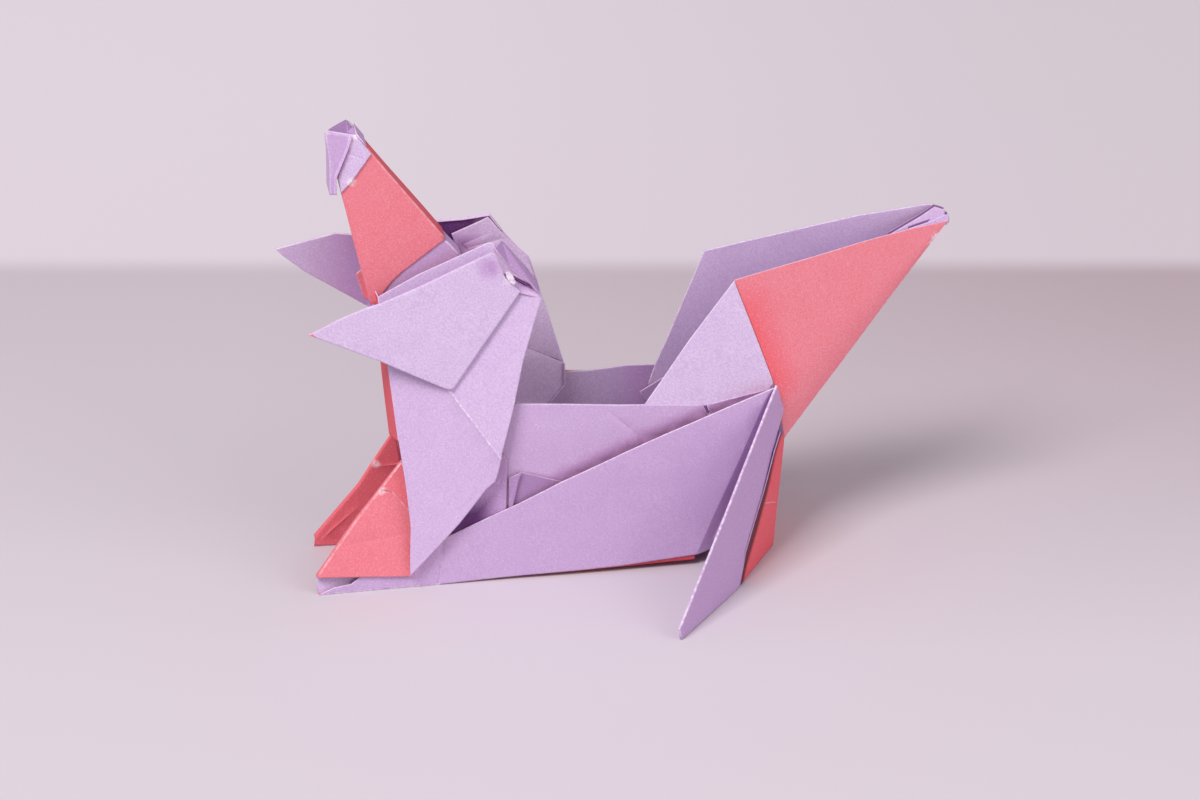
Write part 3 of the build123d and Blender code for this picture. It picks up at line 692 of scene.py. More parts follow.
HOCK_SHARES = [HOCK_SHARE, (0.094, 0.011), (0.122, 0.084), (0.1500, 0.1700), FLANK_TURN_SHARE]
PAW_TOP_HALF = 4.5
PAW_HALF = 7.8
PAW_HEEL_HALF = 7.8
PAW_TOP_DEPTH = 0.6
PAW_TIP_DEPTH = 1.0
SOLE_INNER_HALF = 6.3
SOLE_HALF = 7.55
FLANK_HALF = 8.0
FLANK_FRONT_HALF = 7.3
HOCK_HALF = 6.6
FLANK_FOLDS = [
    (SOLE_HEEL_SHARE, FLANK_FRONT_HALF), (FLANK_FRONT_SHARE, FLANK_FRONT_HALF),
    (FLANK_REAR_SHARE, FLANK_HALF),
]


def fold_front_leg(side):
    """The coral front leg: outer face, narrow front edge, and inner face to the floor."""
    places = PAW_SHARES[side]
    plane = side_spots([
        (places[0], PAW_TOP_HALF), (places[-1], PAW_HALF), (PAW_HEEL_SHARE, PAW_HEEL_HALF),
    ], side)
    outer = pane(plane, places + [PAW_HEEL_SHARE, PAW_BACK_SHARE])
    top, mid, tip = outer[:3]
    inner_plane = across([top], side, -PAW_TOP_DEPTH * MM) + across([tip], side, -PAW_TIP_DEPTH * MM)
    inner_plane.append(spot(SOLE_INNER_HEEL_SHARE, side * SOLE_INNER_HALF))
    floor = [SOLE_TIP_SHARES[side], SOLE_INNER_HEEL_SHARE]
    inner = pane(inner_plane, places + floor + [PAW_BACK_SHARE])
    edges = [[mid, top, inner[0], inner[1]], [tip, mid, inner[1], inner[2]]]
    leg = turned([outer] + edges + [inner[::-1]], -side)
    if side == NEAR:
        add_run(leg, tone=0.3, worn=0.5, lines=creases(pane(plane, PAW_SOFT_SHARES), 0.05))
        cuff = pane(across(plane, side, 0.17 * MM), PAW_CUFF_SHARES)
        add_run(flipped([cuff]), tone=0.5, worn=1)
    else:
        lines = []
        for marks in FAR_PAW_CREASE_SHARES:
            lines += creases(pane(inner_plane, marks), -0.12, 0.1)
        # Painted shade: the far leg is set deeper than the near one
        add_run(leg, tone=0.7, worn=0.1, lines=lines)
    return inner[3], inner[4]


def fold_flank(side, inner_tip, inner_heel):
    """The sole, the low strip beside the paw and the side panel with its turned rear."""
    outer_tip = spot(SOLE_TIP_SHARES[side], side * SOLE_HALF)
    outer_heel, front, rear = side_spots(FLANK_FOLDS, side)
    sole = [inner_tip, inner_heel, outer_heel, outer_tip]
    strip = pane([outer_tip, outer_heel, front], [SOLE_TIP_SHARES[side]] + STRIP_SHARES)
    panel = pane([outer_heel, front, rear], FLANK_SHARES)
    turn = pane([panel[2], panel[3], spot(HOCK_SHARES[1], side * HOCK_HALF)], HOCK_SHARES)
    bulge = (panel[6], panel[4], 9 * MM, millimetres(0, side * 0.35, 0))
    add_run(turned([sole, strip, panel, turn], side), tone=0.6, worn=0.7, bends=[bulge],
            lines=creases([outer_heel.lerp(front, 0.04), outer_heel.lerp(front, 0.75)], -side * 0.15, 0.7))


WALL_FRONT_SHARE = (-0.125, 0.140)
WALL_FOOT_FRONT_SHARE = (-0.165, 0.016)
WALL_FOOT_REAR_SHARE = (0.122, 0.022)
WALL_SHARES = [
    WALL_FOOT_FRONT_SHARE, WALL_FOOT_REAR_SHARE, (0.147, 0.166), (0.0885, 0.1550),
    (0.0915, 0.1460), (0.0895, 0.1460), (0.0850, 0.1553), (0.011, 0.1607),
    (-0.090, 0.1690), WALL_FRONT_SHARE,
]
INNER_WALL_SHARES = [
    WALL_FOOT_FRONT_SHARE, WALL_FOOT_REAR_SHARE, (0.125, 0.150), (0.0850, 0.1550),
    (0.011, 0.1604), (-0.090, 0.1687), WALL_FRONT_SHARE,
]
FAR_WALL_SHARES = [
    *INNER_WALL_SHARES[:3], (0.0744, 0.1592), (0.0591, 0.1600), (0.0307, 0.1611),
    (-0.0017, 0.1588), (-0.0294, 0.1590), (-0.090, 0.1690), WALL_FRONT_SHARE,
]
WALL_NOTCH_SHARES = [(0.0830, 0.1420), (0.0960, 0.1420), (0.0950, 0.1545), (0.0840, 0.1545)]
WALL_CREASE_SHARES = [(0.0000, 0.1560), (0.0212, 0.1345)]
WALL_BEND_SHARES = [(-0.060, 0.098), (0.030, 0.122)]
WALL_PAINTED_SHADOW_SHARES = [(-0.080, 0.0755), FLANK_REAR_SHARE]
BELLY_RIDGE_Z_SHARE = 0.045
WALL_HALF = 6.5
WALL_FOOT_HALF = 6.9
WALL_NOTCH_HALF = 6.41
WALL_LAYER = 0.22              # millimetres between a wall's two layers


def wall_anchors(side, inset_mm):
    """Three points that set the plane of one trough wall."""
    return side_spots([
        (WALL_FOOT_FRONT_SHARE, WALL_FOOT_HALF - inset_mm),
        (WALL_FOOT_REAR_SHARE, WALL_FOOT_HALF - inset_mm), (WALL_FRONT_SHARE, WALL_HALF - inset_mm),
    ], side)


def fold_trough():
    """The open back: two walls of two layers each, and the belly folded up between them."""
    hollows = []
    for side in (NEAR, FAR):
        plane = wall_anchors(side, 0)
        outer = pane(plane, WALL_SHARES)
        if side == FAR:
            outer = moved(pane(plane, INNER_WALL_SHARES), millimetres(0, 0, -0.5))
        # Painted shadow, deepening along the line where the side panel's top edge meets the wall
        shade = painted_shade_along(level(WALL_PAINTED_SHADOW_SHARES, side * WALL_HALF), 1.8 * MM, 0.55, 2)
        reach_and_push = (6 * MM, millimetres(0, -side * 0.25, 0))
        add_run(turned([outer], side), tone=shade, worn=0.6, spacing=1.5 * MM,
                lines=creases(pane(plane, WALL_CREASE_SHARES), -side * 0.10, 0.3),
                bends=[(*pane(plane, WALL_BEND_SHARES), *reach_and_push)])
        hollows.append((*pane(wall_anchors(side, WALL_LAYER), WALL_BEND_SHARES), *reach_and_push))
    # A small facet of dark painted shade set behind the notch
    add_run([level(WALL_NOTCH_SHARES, NEAR * WALL_NOTCH_HALF)], tone=2.4, worn=0)
    near = pane(wall_anchors(NEAR, WALL_LAYER), INNER_WALL_SHARES)
    far = pane(wall_anchors(FAR, WALL_LAYER), FAR_WALL_SHARES)
    ridge_front = Vector((near[0].x, 0, BELLY_RIDGE_Z_SHARE * SIDE))
    ridge_rear = meet(Vector((near[1].x, 0, 0)), Vector((0, 0, 1)), [near[0], near[1], ridge_front])
    belly_near = [near[1], near[0], ridge_front, ridge_rear]
    belly_far = [ridge_rear, ridge_front, far[0], far[1]]

    # Painted shade, deepening towards the tail
    def painted_shade_to_the_tail(point):
        return max(0, min(2, 0.5 + point.x / (6 * MM)))

    add_run(flipped([near, belly_near, belly_far, far[::-1]]), tone=painted_shade_to_the_tail, worn=0.5,
            bends=hollows)


SHOULDER_FLAP_SHARES = [
    (-0.150, 0.030), (-0.0936, 0.050), (-0.0934, 0.0656), (-0.0917, 0.1165), (-0.0943, 0.1220),
    (-0.099, 0.121), (-0.130, 0.090),
]
TUCK_STRIP_SHARES = [
    (-0.0903, 0.0998), (-0.0907, 0.0480), (-0.0890, 0.0480), (-0.0880, 0.0690), (-0.0822, 0.0944),
    (-0.0794, 0.1036),
]
TUCK_SHARES = [
    (-0.0880, 0.0440), (-0.0430, 0.0600), (-0.0425, 0.0908), (-0.0735, 0.1012), (-0.0794, 0.1036),
    (-0.0850, 0.0980),
]
TUCK_CORNER_SHARES = [(-0.1469, 0.0452), (-0.1205, 0.0643)]
SHOULDER_FLAP_HALF = 7.10
TUCK_STRIP_HALF = 7.25
TUCK_HALF = 6.85


def fold_tucks(side):
    """The shoulder flap and the small flap tucked between a side panel and the wall."""
    # Painted shade: the shoulder flap deepens towards its low front corner, and the strip and tuck are set
    # deeper than full colour
    corner = painted_shade_along(level(TUCK_CORNER_SHARES, side * SHOULDER_FLAP_HALF), 3.5 * MM, 1, 3.2)
    for places, half, tone in (
        (SHOULDER_FLAP_SHARES, SHOULDER_FLAP_HALF, corner),
        (TUCK_STRIP_SHARES, TUCK_STRIP_HALF, 1.4), (TUCK_SHARES, TUCK_HALF, 1.6),
    ):
        add_run(turned([level(places, side * half)], side), tone=tone, worn=0.5)


GUSSET_SHARES = [(-0.150, 0.001), (0.078, 0.009)]


def fold_gusset(side):
    """The coral fold under a side panel."""
    outer = across(pane(side_spots(FLANK_FOLDS, side), GUSSET_SHARES), side, -0.6 * LAYER)
    low = [outer[0] + millimetres(0, 0, -0.10), outer[1] + millimetres(0, 0, -0.50)]
    top = moved(outer, millimetres(0, 0, 0.40))
    inner = moved(low, millimetres(0, -side * 1.6, 0.1))
    facets = [[low[0], low[1], top[1], top[0]], [low[1], low[0], inner[0], inner[1]]]
    # Painted shade: the fold lies in shade under the side panel
    add_run(turned(facets, -side), tone=1.7, worn=0)


# Hind legs, rump and tail

HIP_SHARE = (0.151, 0.172)
HIP_REAR_SHARE = (0.161, 0.142)
TOE_SHARE = (0.039, 0.0)
HEEL_SHARE = (0.108, 0.0)
LEG_SHARES = [
    HIP_SHARE, (0.037, 0.011), TOE_SHARE, HEEL_SHARE, (0.113, 0.019), (0.118, 0.040),
    (0.134, 0.065), (0.153, 0.125), HIP_REAR_SHARE,
]
HIP_HALF = 7.6
TOE_HALF = 28.2
HEEL_HALF = 15.3
LEG_LAYER = 0.22 * MM
RUMP_TOP_SHARE = (0.1618, 0.1133)
RUMP_FOOT_SHARE = (0.157, 0.0)
RUMP_CORNER_SHARE = (0.110, 0.0)
RUMP_SHARES = [
    (0.1560, 0.125), (0.148, 0.110), (0.136, 0.077), (0.115, 0.031),
    RUMP_CORNER_SHARE, RUMP_FOOT_SHARE, RUMP_TOP_SHARE,
]
RUMP_GAP_SHADOW_SHARES = [
    (0.1583, 0.1378), (0.1453, 0.1093), (0.1371, 0.0767),
    (0.1270, 0.0478), (0.1129, 0.0173), (0.1094, 0.0020),
]
RUMP_STEP_SHARES = [(0.1380, 0.0645), (0.1556, 0.0498)]
RUMP_TOP_HALF = 5.5
RUMP_HALF = 3.7
HAUNCH_HALF = 14.7


def fold_hind_leg(side):
    """One hind leg of two layers, folded along its front edge."""
    anchors = side_spots([(HIP_SHARE, HIP_HALF), (TOE_SHARE, TOE_HALF), (HEEL_SHARE, HEEL_HALF)], side)
    leg = pane(anchors, LEG_SHARES)
    normal = (anchors[1] - anchors[0]).cross(anchors[2] - anchors[0]).normalized()
    behind = normal * (LEG_LAYER if normal.x < 0 else -LEG_LAYER)
    back = moved(leg, behind)
    back[3:] = moved(back[3:], millimetres(-0.80, 0, 0))
    fold = [leg[1], leg[0], back[0], back[1]]
    toe = [leg[2], leg[1], back[1], back[2]]
    add_run(turned([leg, fold, toe, back[::-1]], side), tone=0.8, worn=0.6, radius=0.1 * MM)


def fold_rump():
    """The coral rump: two splayed panels and the strip between them."""
    sides = []
    lines = []
    for side in (NEAR, FAR):
        anchors = side_spots([
            (RUMP_TOP_SHARE, RUMP_TOP_HALF), (RUMP_CORNER_SHARE, HAUNCH_HALF),
            (RUMP_FOOT_SHARE, RUMP_HALF),
        ], side)
        sides.append(pane(anchors, RUMP_SHARES))
        lines += creases(pane(anchors, RUMP_STEP_SHARES), side * 0.20, 0.7)
    near, far = sides
    # Painted shadow: the rump deepens to the darkest along the gap beside the hind leg's rear edge
    shade = painted_shade_along(pane([near[-1], near[4], near[-2]], RUMP_GAP_SHADOW_SHARES), 2.0 * MM, 0.9, 4)
    back = [near[-1], near[-2], far[-2], far[-1]]
    add_run(flipped([near, back, far[::-1]]), tone=shade, worn=0.4, lines=lines, spacing=0.45 * MM)


TAIL_CORNER_SHARE = (0.113, 0.270)
FAR_TAIL_CORNER_SHARE = (0.101, 0.271)
TAIL_ROOT_SHARE = (0.150, 0.171)
TAIL_TIP_SHARE = (0.315, 0.300)
TAIL_KEEL_SHARE = (0.1620, 0.1125)
NEAR_TAIL_SHARES = [(0.280, 0.297), (0.232, 0.290)]
FAR_TAIL_SHARES = [(0.318, 0.303), (0.310, 0.312), (0.298, 0.315), (0.275, 0.311), (0.239, 0.305)]
SADDLE_SHARE = (0.032, 0.158)
NEAR_SADDLE_SHARES = [(0.073, 0.217), SADDLE_SHARE, (0.037, 0.146), (0.130, 0.142)]
FAR_SADDLE_SHARES = [(0.068, 0.185), (0.0586, 0.1631), (0.0504, 0.1388), (0.0671, 0.1485), (0.130, 0.160)]
FAR_SADDLE_TURN_SHARES = [
    (0.0432, 0.1363), (0.0470, 0.1290), (0.0525, 0.1200), (0.0800, 0.1400), (0.0655, 0.1495),
]
UPPER_PLEAT = [((0.2560, 0.2840), 1.4), ((0.3150, 0.2960), 0.3), ((0.3125, 0.3060), 0.2),
               ((0.3124, 0.3098), 0.1), ((0.3033, 0.3133), 0.1), ((0.2905, 0.3060), 0.4),
               ((0.2590, 0.2920), 1.4)]
LOWER_PLEAT = [((0.2780, 0.2900), 1.2), ((0.3160, 0.2975), 0.4), ((0.3172, 0.3018), 0.2),
               ((0.3153, 0.3058), 0.2), ((0.2965, 0.3005), 0.7), ((0.2786, 0.2968), 1.2)]
TAIL_HALF = 5.4
TAIL_ROOT_HALF = 6.0
TAIL_TIP_HALF = 0.5
KEEL_HALF = 5.3
ROLL_STEPS = 5


def rolled_side(corner, root, keel, tip, top_points, side):
    """The coral side of the tail: flat down to the root, then rolled softly in to the keel."""
    normal = (root - corner).cross(tip - corner).normalized()
    drop = (keel - root).dot(normal)
    facets = [[corner, root, tip] + top_points]
    start = root
    for step in range(1, ROLL_STEPS + 1):
        share = step / ROLL_STEPS
        end = root.lerp(keel, share) + normal * (drop * (share * share - share))
        facets.append([start, end, tip])
        start = end
    return turned(facets, side)


def fold_tail():
    """The V-shaped tail, coral outside, and the lavender saddle layers over its front."""
    coral = {}
    inner_layers = {}
    for side, corner_share, saddle_shares, top_shares in (
        (NEAR, TAIL_CORNER_SHARE, NEAR_SADDLE_SHARES, NEAR_TAIL_SHARES),
        (FAR, FAR_TAIL_CORNER_SHARE, FAR_SADDLE_SHARES, FAR_TAIL_SHARES),
    ):
        corner, root, tip, keel, saddle_low = side_spots([
            (corner_share, TAIL_HALF), (TAIL_ROOT_SHARE, TAIL_ROOT_HALF), (TAIL_TIP_SHARE, TAIL_TIP_HALF),
            (TAIL_KEEL_SHARE, KEEL_HALF), (SADDLE_SHARE, TAIL_ROOT_HALF),
        ], side)
        saddle = pane([corner, root, saddle_low], [corner_share] + saddle_shares + [TAIL_ROOT_SHARE])
        top_points = pane([corner, root, tip], top_shares)
        coral[side] = rolled_side(corner, root, keel, tip, top_points, side)
        inner_layers[side] = [saddle, [corner, root, tip] + top_points]
        outside = across(saddle, side, LAYER)
        if side == FAR:
            outside = moved(outside, millimetres(0.12, 0, -0.12))
        add_run(turned([outside], side), tone=0, worn=0.7)
    near, far = coral[NEAR], coral[FAR]
    underside = [near[-1][2], near[-1][1], far[-1][1], far[-1][0]]
    # Painted shade: the coral deepens towards the lower part of its edge from corner to root
    painted_shade_at_root_edge = painted_shade_along([near[0][0].lerp(near[0][1], 0.3), near[0][1]], 4.5 * MM, 0.15, 0.85)
    add_run(flipped(near + [underside] + far), tone=painted_shade_at_root_edge, worn=0.5, least_angle=SOFT_ANGLE)
    for side in (NEAR, FAR):
        tuck_in = millimetres(0.14, 0.10, -0.10) if side == NEAR else millimetres(0, -0.10, 0)
        inside = [moved(facet, tuck_in) for facet in inner_layers[side]]
        add_run(turned(inside, -side), tone=0.35, worn=0.7)
    for folds in (UPPER_PLEAT, LOWER_PLEAT):
        pleat = side_spots(folds, NEAR)
        # A darker copy set behind each pleat: painted shade that shows as a dark line above the pleat's
        # edge
        add_run([moved(pleat, millimetres(-0.10, 0.25, 0.25))], tone=2.2, worn=0)
        add_run([pleat], tone=0.4, worn=0.4)
    turn_plane = across(side_spots([
        (FAR_TAIL_CORNER_SHARE, TAIL_HALF), (TAIL_ROOT_SHARE, TAIL_ROOT_HALF),
        (SADDLE_SHARE, TAIL_ROOT_HALF),
    ], FAR), FAR, -0.6 * MM)
    # Painted shade: the turned facet is set deeper than full colour
    add_run([pane(turn_plane, FAR_SADDLE_TURN_SHARES)], tone=1.2, worn=0.5)


def fold_whole_sheet():
    """Every run of the sheet, joined into one piece with its own thickness."""
    fold_muzzle()
    fold_nose()
    fold_throat()
    fold_near_ear()
    fold_far_ear()
    fold_hood()
    fold_roof()
    fold_trough()
    fold_rump()
    fold_tail()
    for side in (NEAR, FAR):
        fold_neck(side)
        inner_tip, inner_heel = fold_front_leg(side)
        fold_flank(side, inner_tip, inner_heel)
        fold_gusset(side)
        fold_tucks(side)
        fold_hind_leg(side)
    pieces = [put_in_scene("run", mesh) for mesh in runs]
    sheet = pieces[0]
    with bpy.context.temp_override(active_object=sheet, object=sheet, selected_editable_objects=pieces,
                                   selected_objects=pieces):
        bpy.ops.object.join()
    sheet.name = "paper_dog"
    low = Vector(cad_box[0]) + MARGIN
    high = Vector(cad_box[1]) - MARGIN
    for vert in sheet.data.vertices:
        for axis in range(3):
            vert.co[axis] = min(max(vert.co[axis], low[axis]), high[axis])
    for polygon in sheet.data.polygons:
        polygon.use_smooth = True
    sheet.data.set_sharp_from_angle(angle=SHARP_ANGLE)
    thickness = sheet.modifiers.new("paper thickness", "SOLIDIFY")
    thickness.thickness = PAPER
    thickness.offset = 0
    thickness.material_offset = 1
    thickness.material_offset_rim = 2
    return sheet


# Finishes of the paper

def rgb(red, green, blue):
    """A linear colour from plain display values of 0 to 255."""
    def linear(value):
        share = value / 255
        return share / 12.92 if share <= 0.04045 else ((share + 0.055) / 1.055) ** 2.4
    return (linear(red), linear(green), linear(blue), 1)


# Each paper's pale and deep colours span its tone, partly its own colour and partly painted light and
# shade; the painted shade colour is what the deepest painted shade reaches
LAVENDER_PALE = rgb(222, 202, 233)
LAVENDER_DEEP = rgb(194, 156, 205)
LAVENDER_PAINTED_SHADE = rgb(90, 38, 104)
LAVENDER_DARK = rgb(184, 148, 198)
LAVENDER_FLECK = rgb(240, 218, 240)
CORAL_PALE = rgb(230, 146, 159)
CORAL_DEEP = rgb(240, 86, 97)
CORAL_PAINTED_SHADE = rgb(92, 22, 40)
CORAL_DARK = rgb(226, 98, 112)
CORAL_FLECK = rgb(246, 180, 190)
CORAL_WORN = rgb(248, 212, 220)
WORN = rgb(244, 232, 244)
CUT_EDGE = rgb(228, 208, 232)
MOTTLE_SCALE = 300             # cells of each pattern in a metre
PATCH_SCALE = 1700
GRAIN_SCALE = 4000
FLECK_SCALE = 6500
GRAIN_HEIGHT = 0.04 * MM

# Places rubbed pale, each with its half width and its reach in millimetres
WORN_PLACES = [
    ((-0.0868, 0.2880), -6.95, 1.1), ((-0.2129, 0.4145), -2.1, 0.5), ((-0.2178, 0.3738), -2.2, 0.8),
    ((-0.2005, 0.0857), 4.9, 0.8), ((-0.2030, 0.0910), -5.8, 0.9), ((-0.0975, 0.1225), -8.0, 0.7),
    ((0.3045, 0.2860), -0.9, 0.9), ((0.3000, 0.2805), -1.0, 0.6),
]


def new_finish(name, roughness, specular):
    """A new material, its node tree and its shader."""
    material = bpy.data.materials.new(name)
    material.use_nodes = True
    shader = material.node_tree.nodes["Principled BSDF"]
    shader.inputs["Roughness"].default_value = roughness
    shader.inputs["Specular IOR Level"].default_value = specular
    return material, material.node_tree, shader


def noise_at(tree, coordinates, scale, detail):
    """A noise texture in the sheet's own coordinates."""
    texture = tree.nodes.new("ShaderNodeTexNoise")
    texture.inputs["Scale"].default_value = scale
    texture.inputs["Detail"].default_value = detail
    texture.inputs["Roughness"].default_value = 0.6
    tree.links.new(coordinates, texture.inputs["Vector"])
    return texture.outputs["Fac"]


def ranged(tree, value, low, high, out_low=0, out_high=1):
    """A value mapped from one range to another."""
    node = tree.nodes.new("ShaderNodeMapRange")
    for name, limit in (("From Min", low), ("From Max", high), ("To Min", out_low), ("To Max", out_high)):
        node.inputs[name].default_value = limit
    tree.links.new(value, node.inputs["Value"])
    return node.outputs["Result"]


def mixed(tree, share, first, second):
    """Two colours mixed by a share, each a plain colour or another node's."""
    node = tree.nodes.new("ShaderNodeMix")
    node.data_type = "RGBA"
    tree.links.new(share, node.inputs["Factor"])
    sockets = [socket for socket in node.inputs if socket.type == "RGBA"]
    for socket, value in zip(sockets, (first, second)):
        if hasattr(value, "is_linked"):
            tree.links.new(value, socket)
        else:
            socket.default_value = value
    return [socket for socket in node.outputs if socket.type == "RGBA"][0]


def combined(tree, operation, first, second):
    """Two values joined by an operation, as their product or the larger of them."""
    node = tree.nodes.new("ShaderNodeMath")
    node.operation = operation
    tree.links.new(first, node.inputs[0])
    tree.links.new(second, node.inputs[1])
    return node.outputs["Value"]


def near_place(tree, where, place, reach):
    """How near a point of the sheet is to a place, from 1 down to 0."""
    gap = tree.nodes.new("ShaderNodeVectorMath")
    gap.operation = "DISTANCE"
    tree.links.new(where, gap.inputs[0])
    gap.inputs[1].default_value = place
    return ranged(tree, gap.outputs["Value"], 0.35 * reach, reach, 1, 0)


def attribute(tree, name):
    """A value kept on the sheet's points."""
    node = tree.nodes.new("ShaderNodeAttribute")
    node.attribute_name = name
    return node.outputs["Fac"]


def paper(name, pale, deep, shade, dark, fleck, worn, fleck_share=0.40):
    """Uncoated craft paper: fine fleck, soft mottling, grain bump, pale worn folds, and painted shade set
    by the tone.
    """
    material, tree, shader = new_finish(name, roughness=0.62, specular=0.30)
    where = tree.nodes.new("ShaderNodeTexCoord").outputs["Object"]
    mottle = noise_at(tree, where, MOTTLE_SCALE, 3)
    grain = noise_at(tree, where, GRAIN_SCALE, 3)
    flecks = noise_at(tree, where, FLECK_SCALE, 1)
    patches = noise_at(tree, where, PATCH_SCALE, 3)
    tone = attribute(tree, "tone")
    colour = mixed(tree, ranged(tree, tone, 0, 1), pale, deep)
    colour = mixed(tree, ranged(tree, tone, 1, DARKEST), colour, shade)
    # How much grain, mottle and fleck show: they fade out in deep painted shade
    outside_painted_shade = ranged(tree, tone, 1, 2.2, 1, 0.15)
    for share, tint in (
        (ranged(tree, mottle, 0.35, 0.65, 0, 0.14), dark),
        (ranged(tree, grain, 0.40, 0.60, 0, 0.40), dark),
        (ranged(tree, flecks, 0.58, 0.70, 0, fleck_share), fleck),
    ):
        colour = mixed(tree, combined(tree, "MULTIPLY", share, outside_painted_shade), colour, tint)
    edges = ranged(tree, attribute(tree, "wear"), 0.30, 0.80)
    wear = combined(tree, "MULTIPLY", edges, ranged(tree, patches, 0.42, 0.60, 0.10, 1))
    ragged = ranged(tree, patches, 0.36, 0.48)
    for place, half, reach in WORN_PLACES:
        near = combined(tree, "MULTIPLY", near_place(tree, where, spot(place, half), reach * MM), ragged)
        wear = combined(tree, "MAXIMUM", wear, near)
    tree.links.new(mixed(tree, wear, colour, worn), shader.inputs["Base Color"])
    bump = tree.nodes.new("ShaderNodeBump")
    bump.inputs["Strength"].default_value = 0.5
    bump.inputs["Distance"].default_value = GRAIN_HEIGHT
    tree.links.new(grain, bump.inputs["Height"])
    tree.links.new(bump.outputs["Normal"], shader.inputs["Normal"])
    return material


def finish_sheet(sheet):
    """Gives the sheet its three finishes and ties it to the frame."""
    sheet.data.materials.clear()
    for finish in (
        paper("lavender paper", LAVENDER_PALE, LAVENDER_DEEP, LAVENDER_PAINTED_SHADE, LAVENDER_DARK,
              LAVENDER_FLECK, WORN),
        paper("coral paper", CORAL_PALE, CORAL_DEEP, CORAL_PAINTED_SHADE, CORAL_DARK, CORAL_FLECK, CORAL_WORN),
        paper("cut edge of the paper", CUT_EDGE, LAVENDER_PALE, LAVENDER_DEEP, LAVENDER_DEEP, WORN, WORN,
              fleck_share=0.3),
    ):
        sheet.data.materials.append(finish)
    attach(sheet, "root")
    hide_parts(SHEET_NODE)


# Stage, light and camera

VIEW_AZIMUTH = math.radians(-10)
VIEW_ELEVATION = math.radians(24)
VIEW_DISTANCE = 405 * MM
VIEW_TARGET = Vector((0, 0, 22.1 * MM)) + SHIFT
LENS = 90
SENSOR_WIDTH = 36
FLOOR_HALF = 3000 * MM
TABLE_EDGE = 106 * MM          # where the pale table gives way to the paler ground behind
TABLE_EDGE_BLUR = 5 * MM
TABLE_FRONT = -30 * MM
TABLE_LEFT = -60 * MM
TABLE_RIGHT = 90 * MM
GROUND_END = 360 * MM

# Colours of the table and of the ground behind it; their gradients are painted light and shade
TABLE_FRONT_COLOUR = rgb(212, 203, 212)
TABLE_BACK = rgb(203, 191, 200)
TABLE_CORNER_SHADE = rgb(188, 170, 177)
GROUND_LEFT = rgb(226, 215, 225)
GROUND_RIGHT = rgb(218, 207, 215)
GROUND_END_LEFT = rgb(246, 236, 245)
GROUND_END_RIGHT = rgb(236, 225, 233)

# Each soft light's name, place and size in metres, power in watts and colour
LIGHTS = [
    ("key", (-0.55, -0.55, 0.95), 0.45, 11.3, (1.0, 0.985, 0.975)),
    ("fill", (0.7, -0.7, 0.6), 0.8, 3.6, (1.0, 0.97, 0.98)),
]
SURROUND_COLOUR = (0.93, 0.90, 0.95, 1)
SURROUND_STRENGTH = 0.42


def place_camera():
    """The camera at the photograph's angle."""
    data = bpy.data.cameras.new("camera")
    data.lens = LENS
    data.sensor_width = SENSOR_WIDTH
    data.clip_start = 10 * MM
    camera = put_in_scene("camera", data)
    back = Vector((math.sin(VIEW_AZIMUTH), -math.cos(VIEW_AZIMUTH), 0)) * math.cos(VIEW_ELEVATION)
    back.z = math.sin(VIEW_ELEVATION)
    camera.location = VIEW_TARGET + back * VIEW_DISTANCE
    camera.rotation_euler = (math.pi / 2 - VIEW_ELEVATION, 0, VIEW_AZIMUTH)
    bpy.context.scene.camera = camera


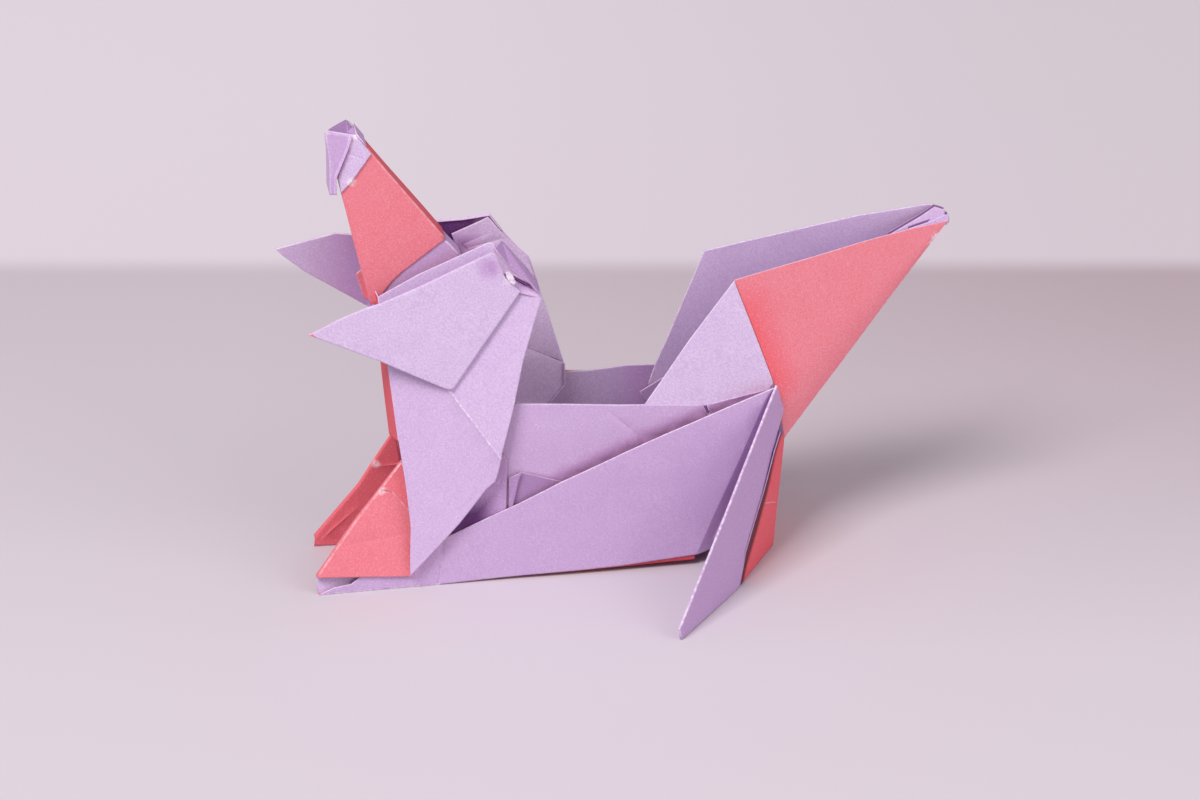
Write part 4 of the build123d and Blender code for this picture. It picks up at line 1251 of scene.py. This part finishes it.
def pale_table():
    """A plain pale table that turns paler beyond its edge, with painted light and shade in its gradients.
    """
    material, tree, shader = new_finish("pale table", roughness=0.6, specular=0.2)
    where = tree.nodes.new("ShaderNodeTexCoord").outputs["Object"]
    turn = tree.nodes.new("ShaderNodeMapping")
    turn.inputs["Rotation"].default_value = (0, 0, -VIEW_AZIMUTH)
    tree.links.new(where, turn.inputs["Vector"])
    split = tree.nodes.new("ShaderNodeSeparateXYZ")
    tree.links.new(turn.outputs["Vector"], split.inputs["Vector"])
    across_table, along_view = split.outputs["X"], split.outputs["Y"]
    rightward = ranged(tree, across_table, TABLE_LEFT, TABLE_RIGHT)
    depth = ranged(tree, along_view, TABLE_FRONT, TABLE_EDGE)
    away = ranged(tree, along_view, TABLE_EDGE, GROUND_END)
    beyond = ranged(tree, along_view, TABLE_EDGE - TABLE_EDGE_BLUR, TABLE_EDGE + TABLE_EDGE_BLUR)
    beyond.node.interpolation_type = "SMOOTHSTEP"
    # Painted shade: the table darkens towards the back, most of all at the back right
    table = mixed(tree, depth, TABLE_FRONT_COLOUR, TABLE_BACK)
    table = mixed(tree, combined(tree, "MULTIPLY", depth, rightward), table, TABLE_CORNER_SHADE)
    # Painted light: the ground beyond is darker to the right and paler towards its far end
    ground = mixed(tree, rightward, GROUND_LEFT, GROUND_RIGHT)
    ground_end = mixed(tree, rightward, GROUND_END_LEFT, GROUND_END_RIGHT)
    ground = mixed(tree, away, ground, ground_end)
    tree.links.new(mixed(tree, beyond, table, ground), shader.inputs["Base Color"])
    return material


def lay_floor():
    """The plain floor that the dog stands on."""
    shape = bmesh.new()
    bmesh.ops.create_grid(shape, x_segments=1, y_segments=1, size=FLOOR_HALF)
    floor = put_in_scene("floor", mesh_of(shape, "floor"))
    floor.data.materials.append(pale_table())


def light_stage():
    """Plain soft light from the upper left, with a pale surround."""
    for name, place, size, power, colour in LIGHTS:
        data = bpy.data.lights.new(name, "AREA")
        data.size = size
        data.energy = power
        data.color = colour
        lamp = put_in_scene(name, data)
        lamp.location = place
        lamp.rotation_euler = (VIEW_TARGET - Vector(place)).to_track_quat("-Z", "Y").to_euler()
    world = bpy.data.worlds.new("surround")
    world.use_nodes = True
    background = world.node_tree.nodes["Background"]
    background.inputs["Color"].default_value = SURROUND_COLOUR
    background.inputs["Strength"].default_value = SURROUND_STRENGTH
    bpy.context.scene.world = world
    bpy.context.scene.view_settings.view_transform = "Standard"


sheet = fold_whole_sheet()
finish_sheet(sheet)
place_camera()
lay_floor()
light_stage()
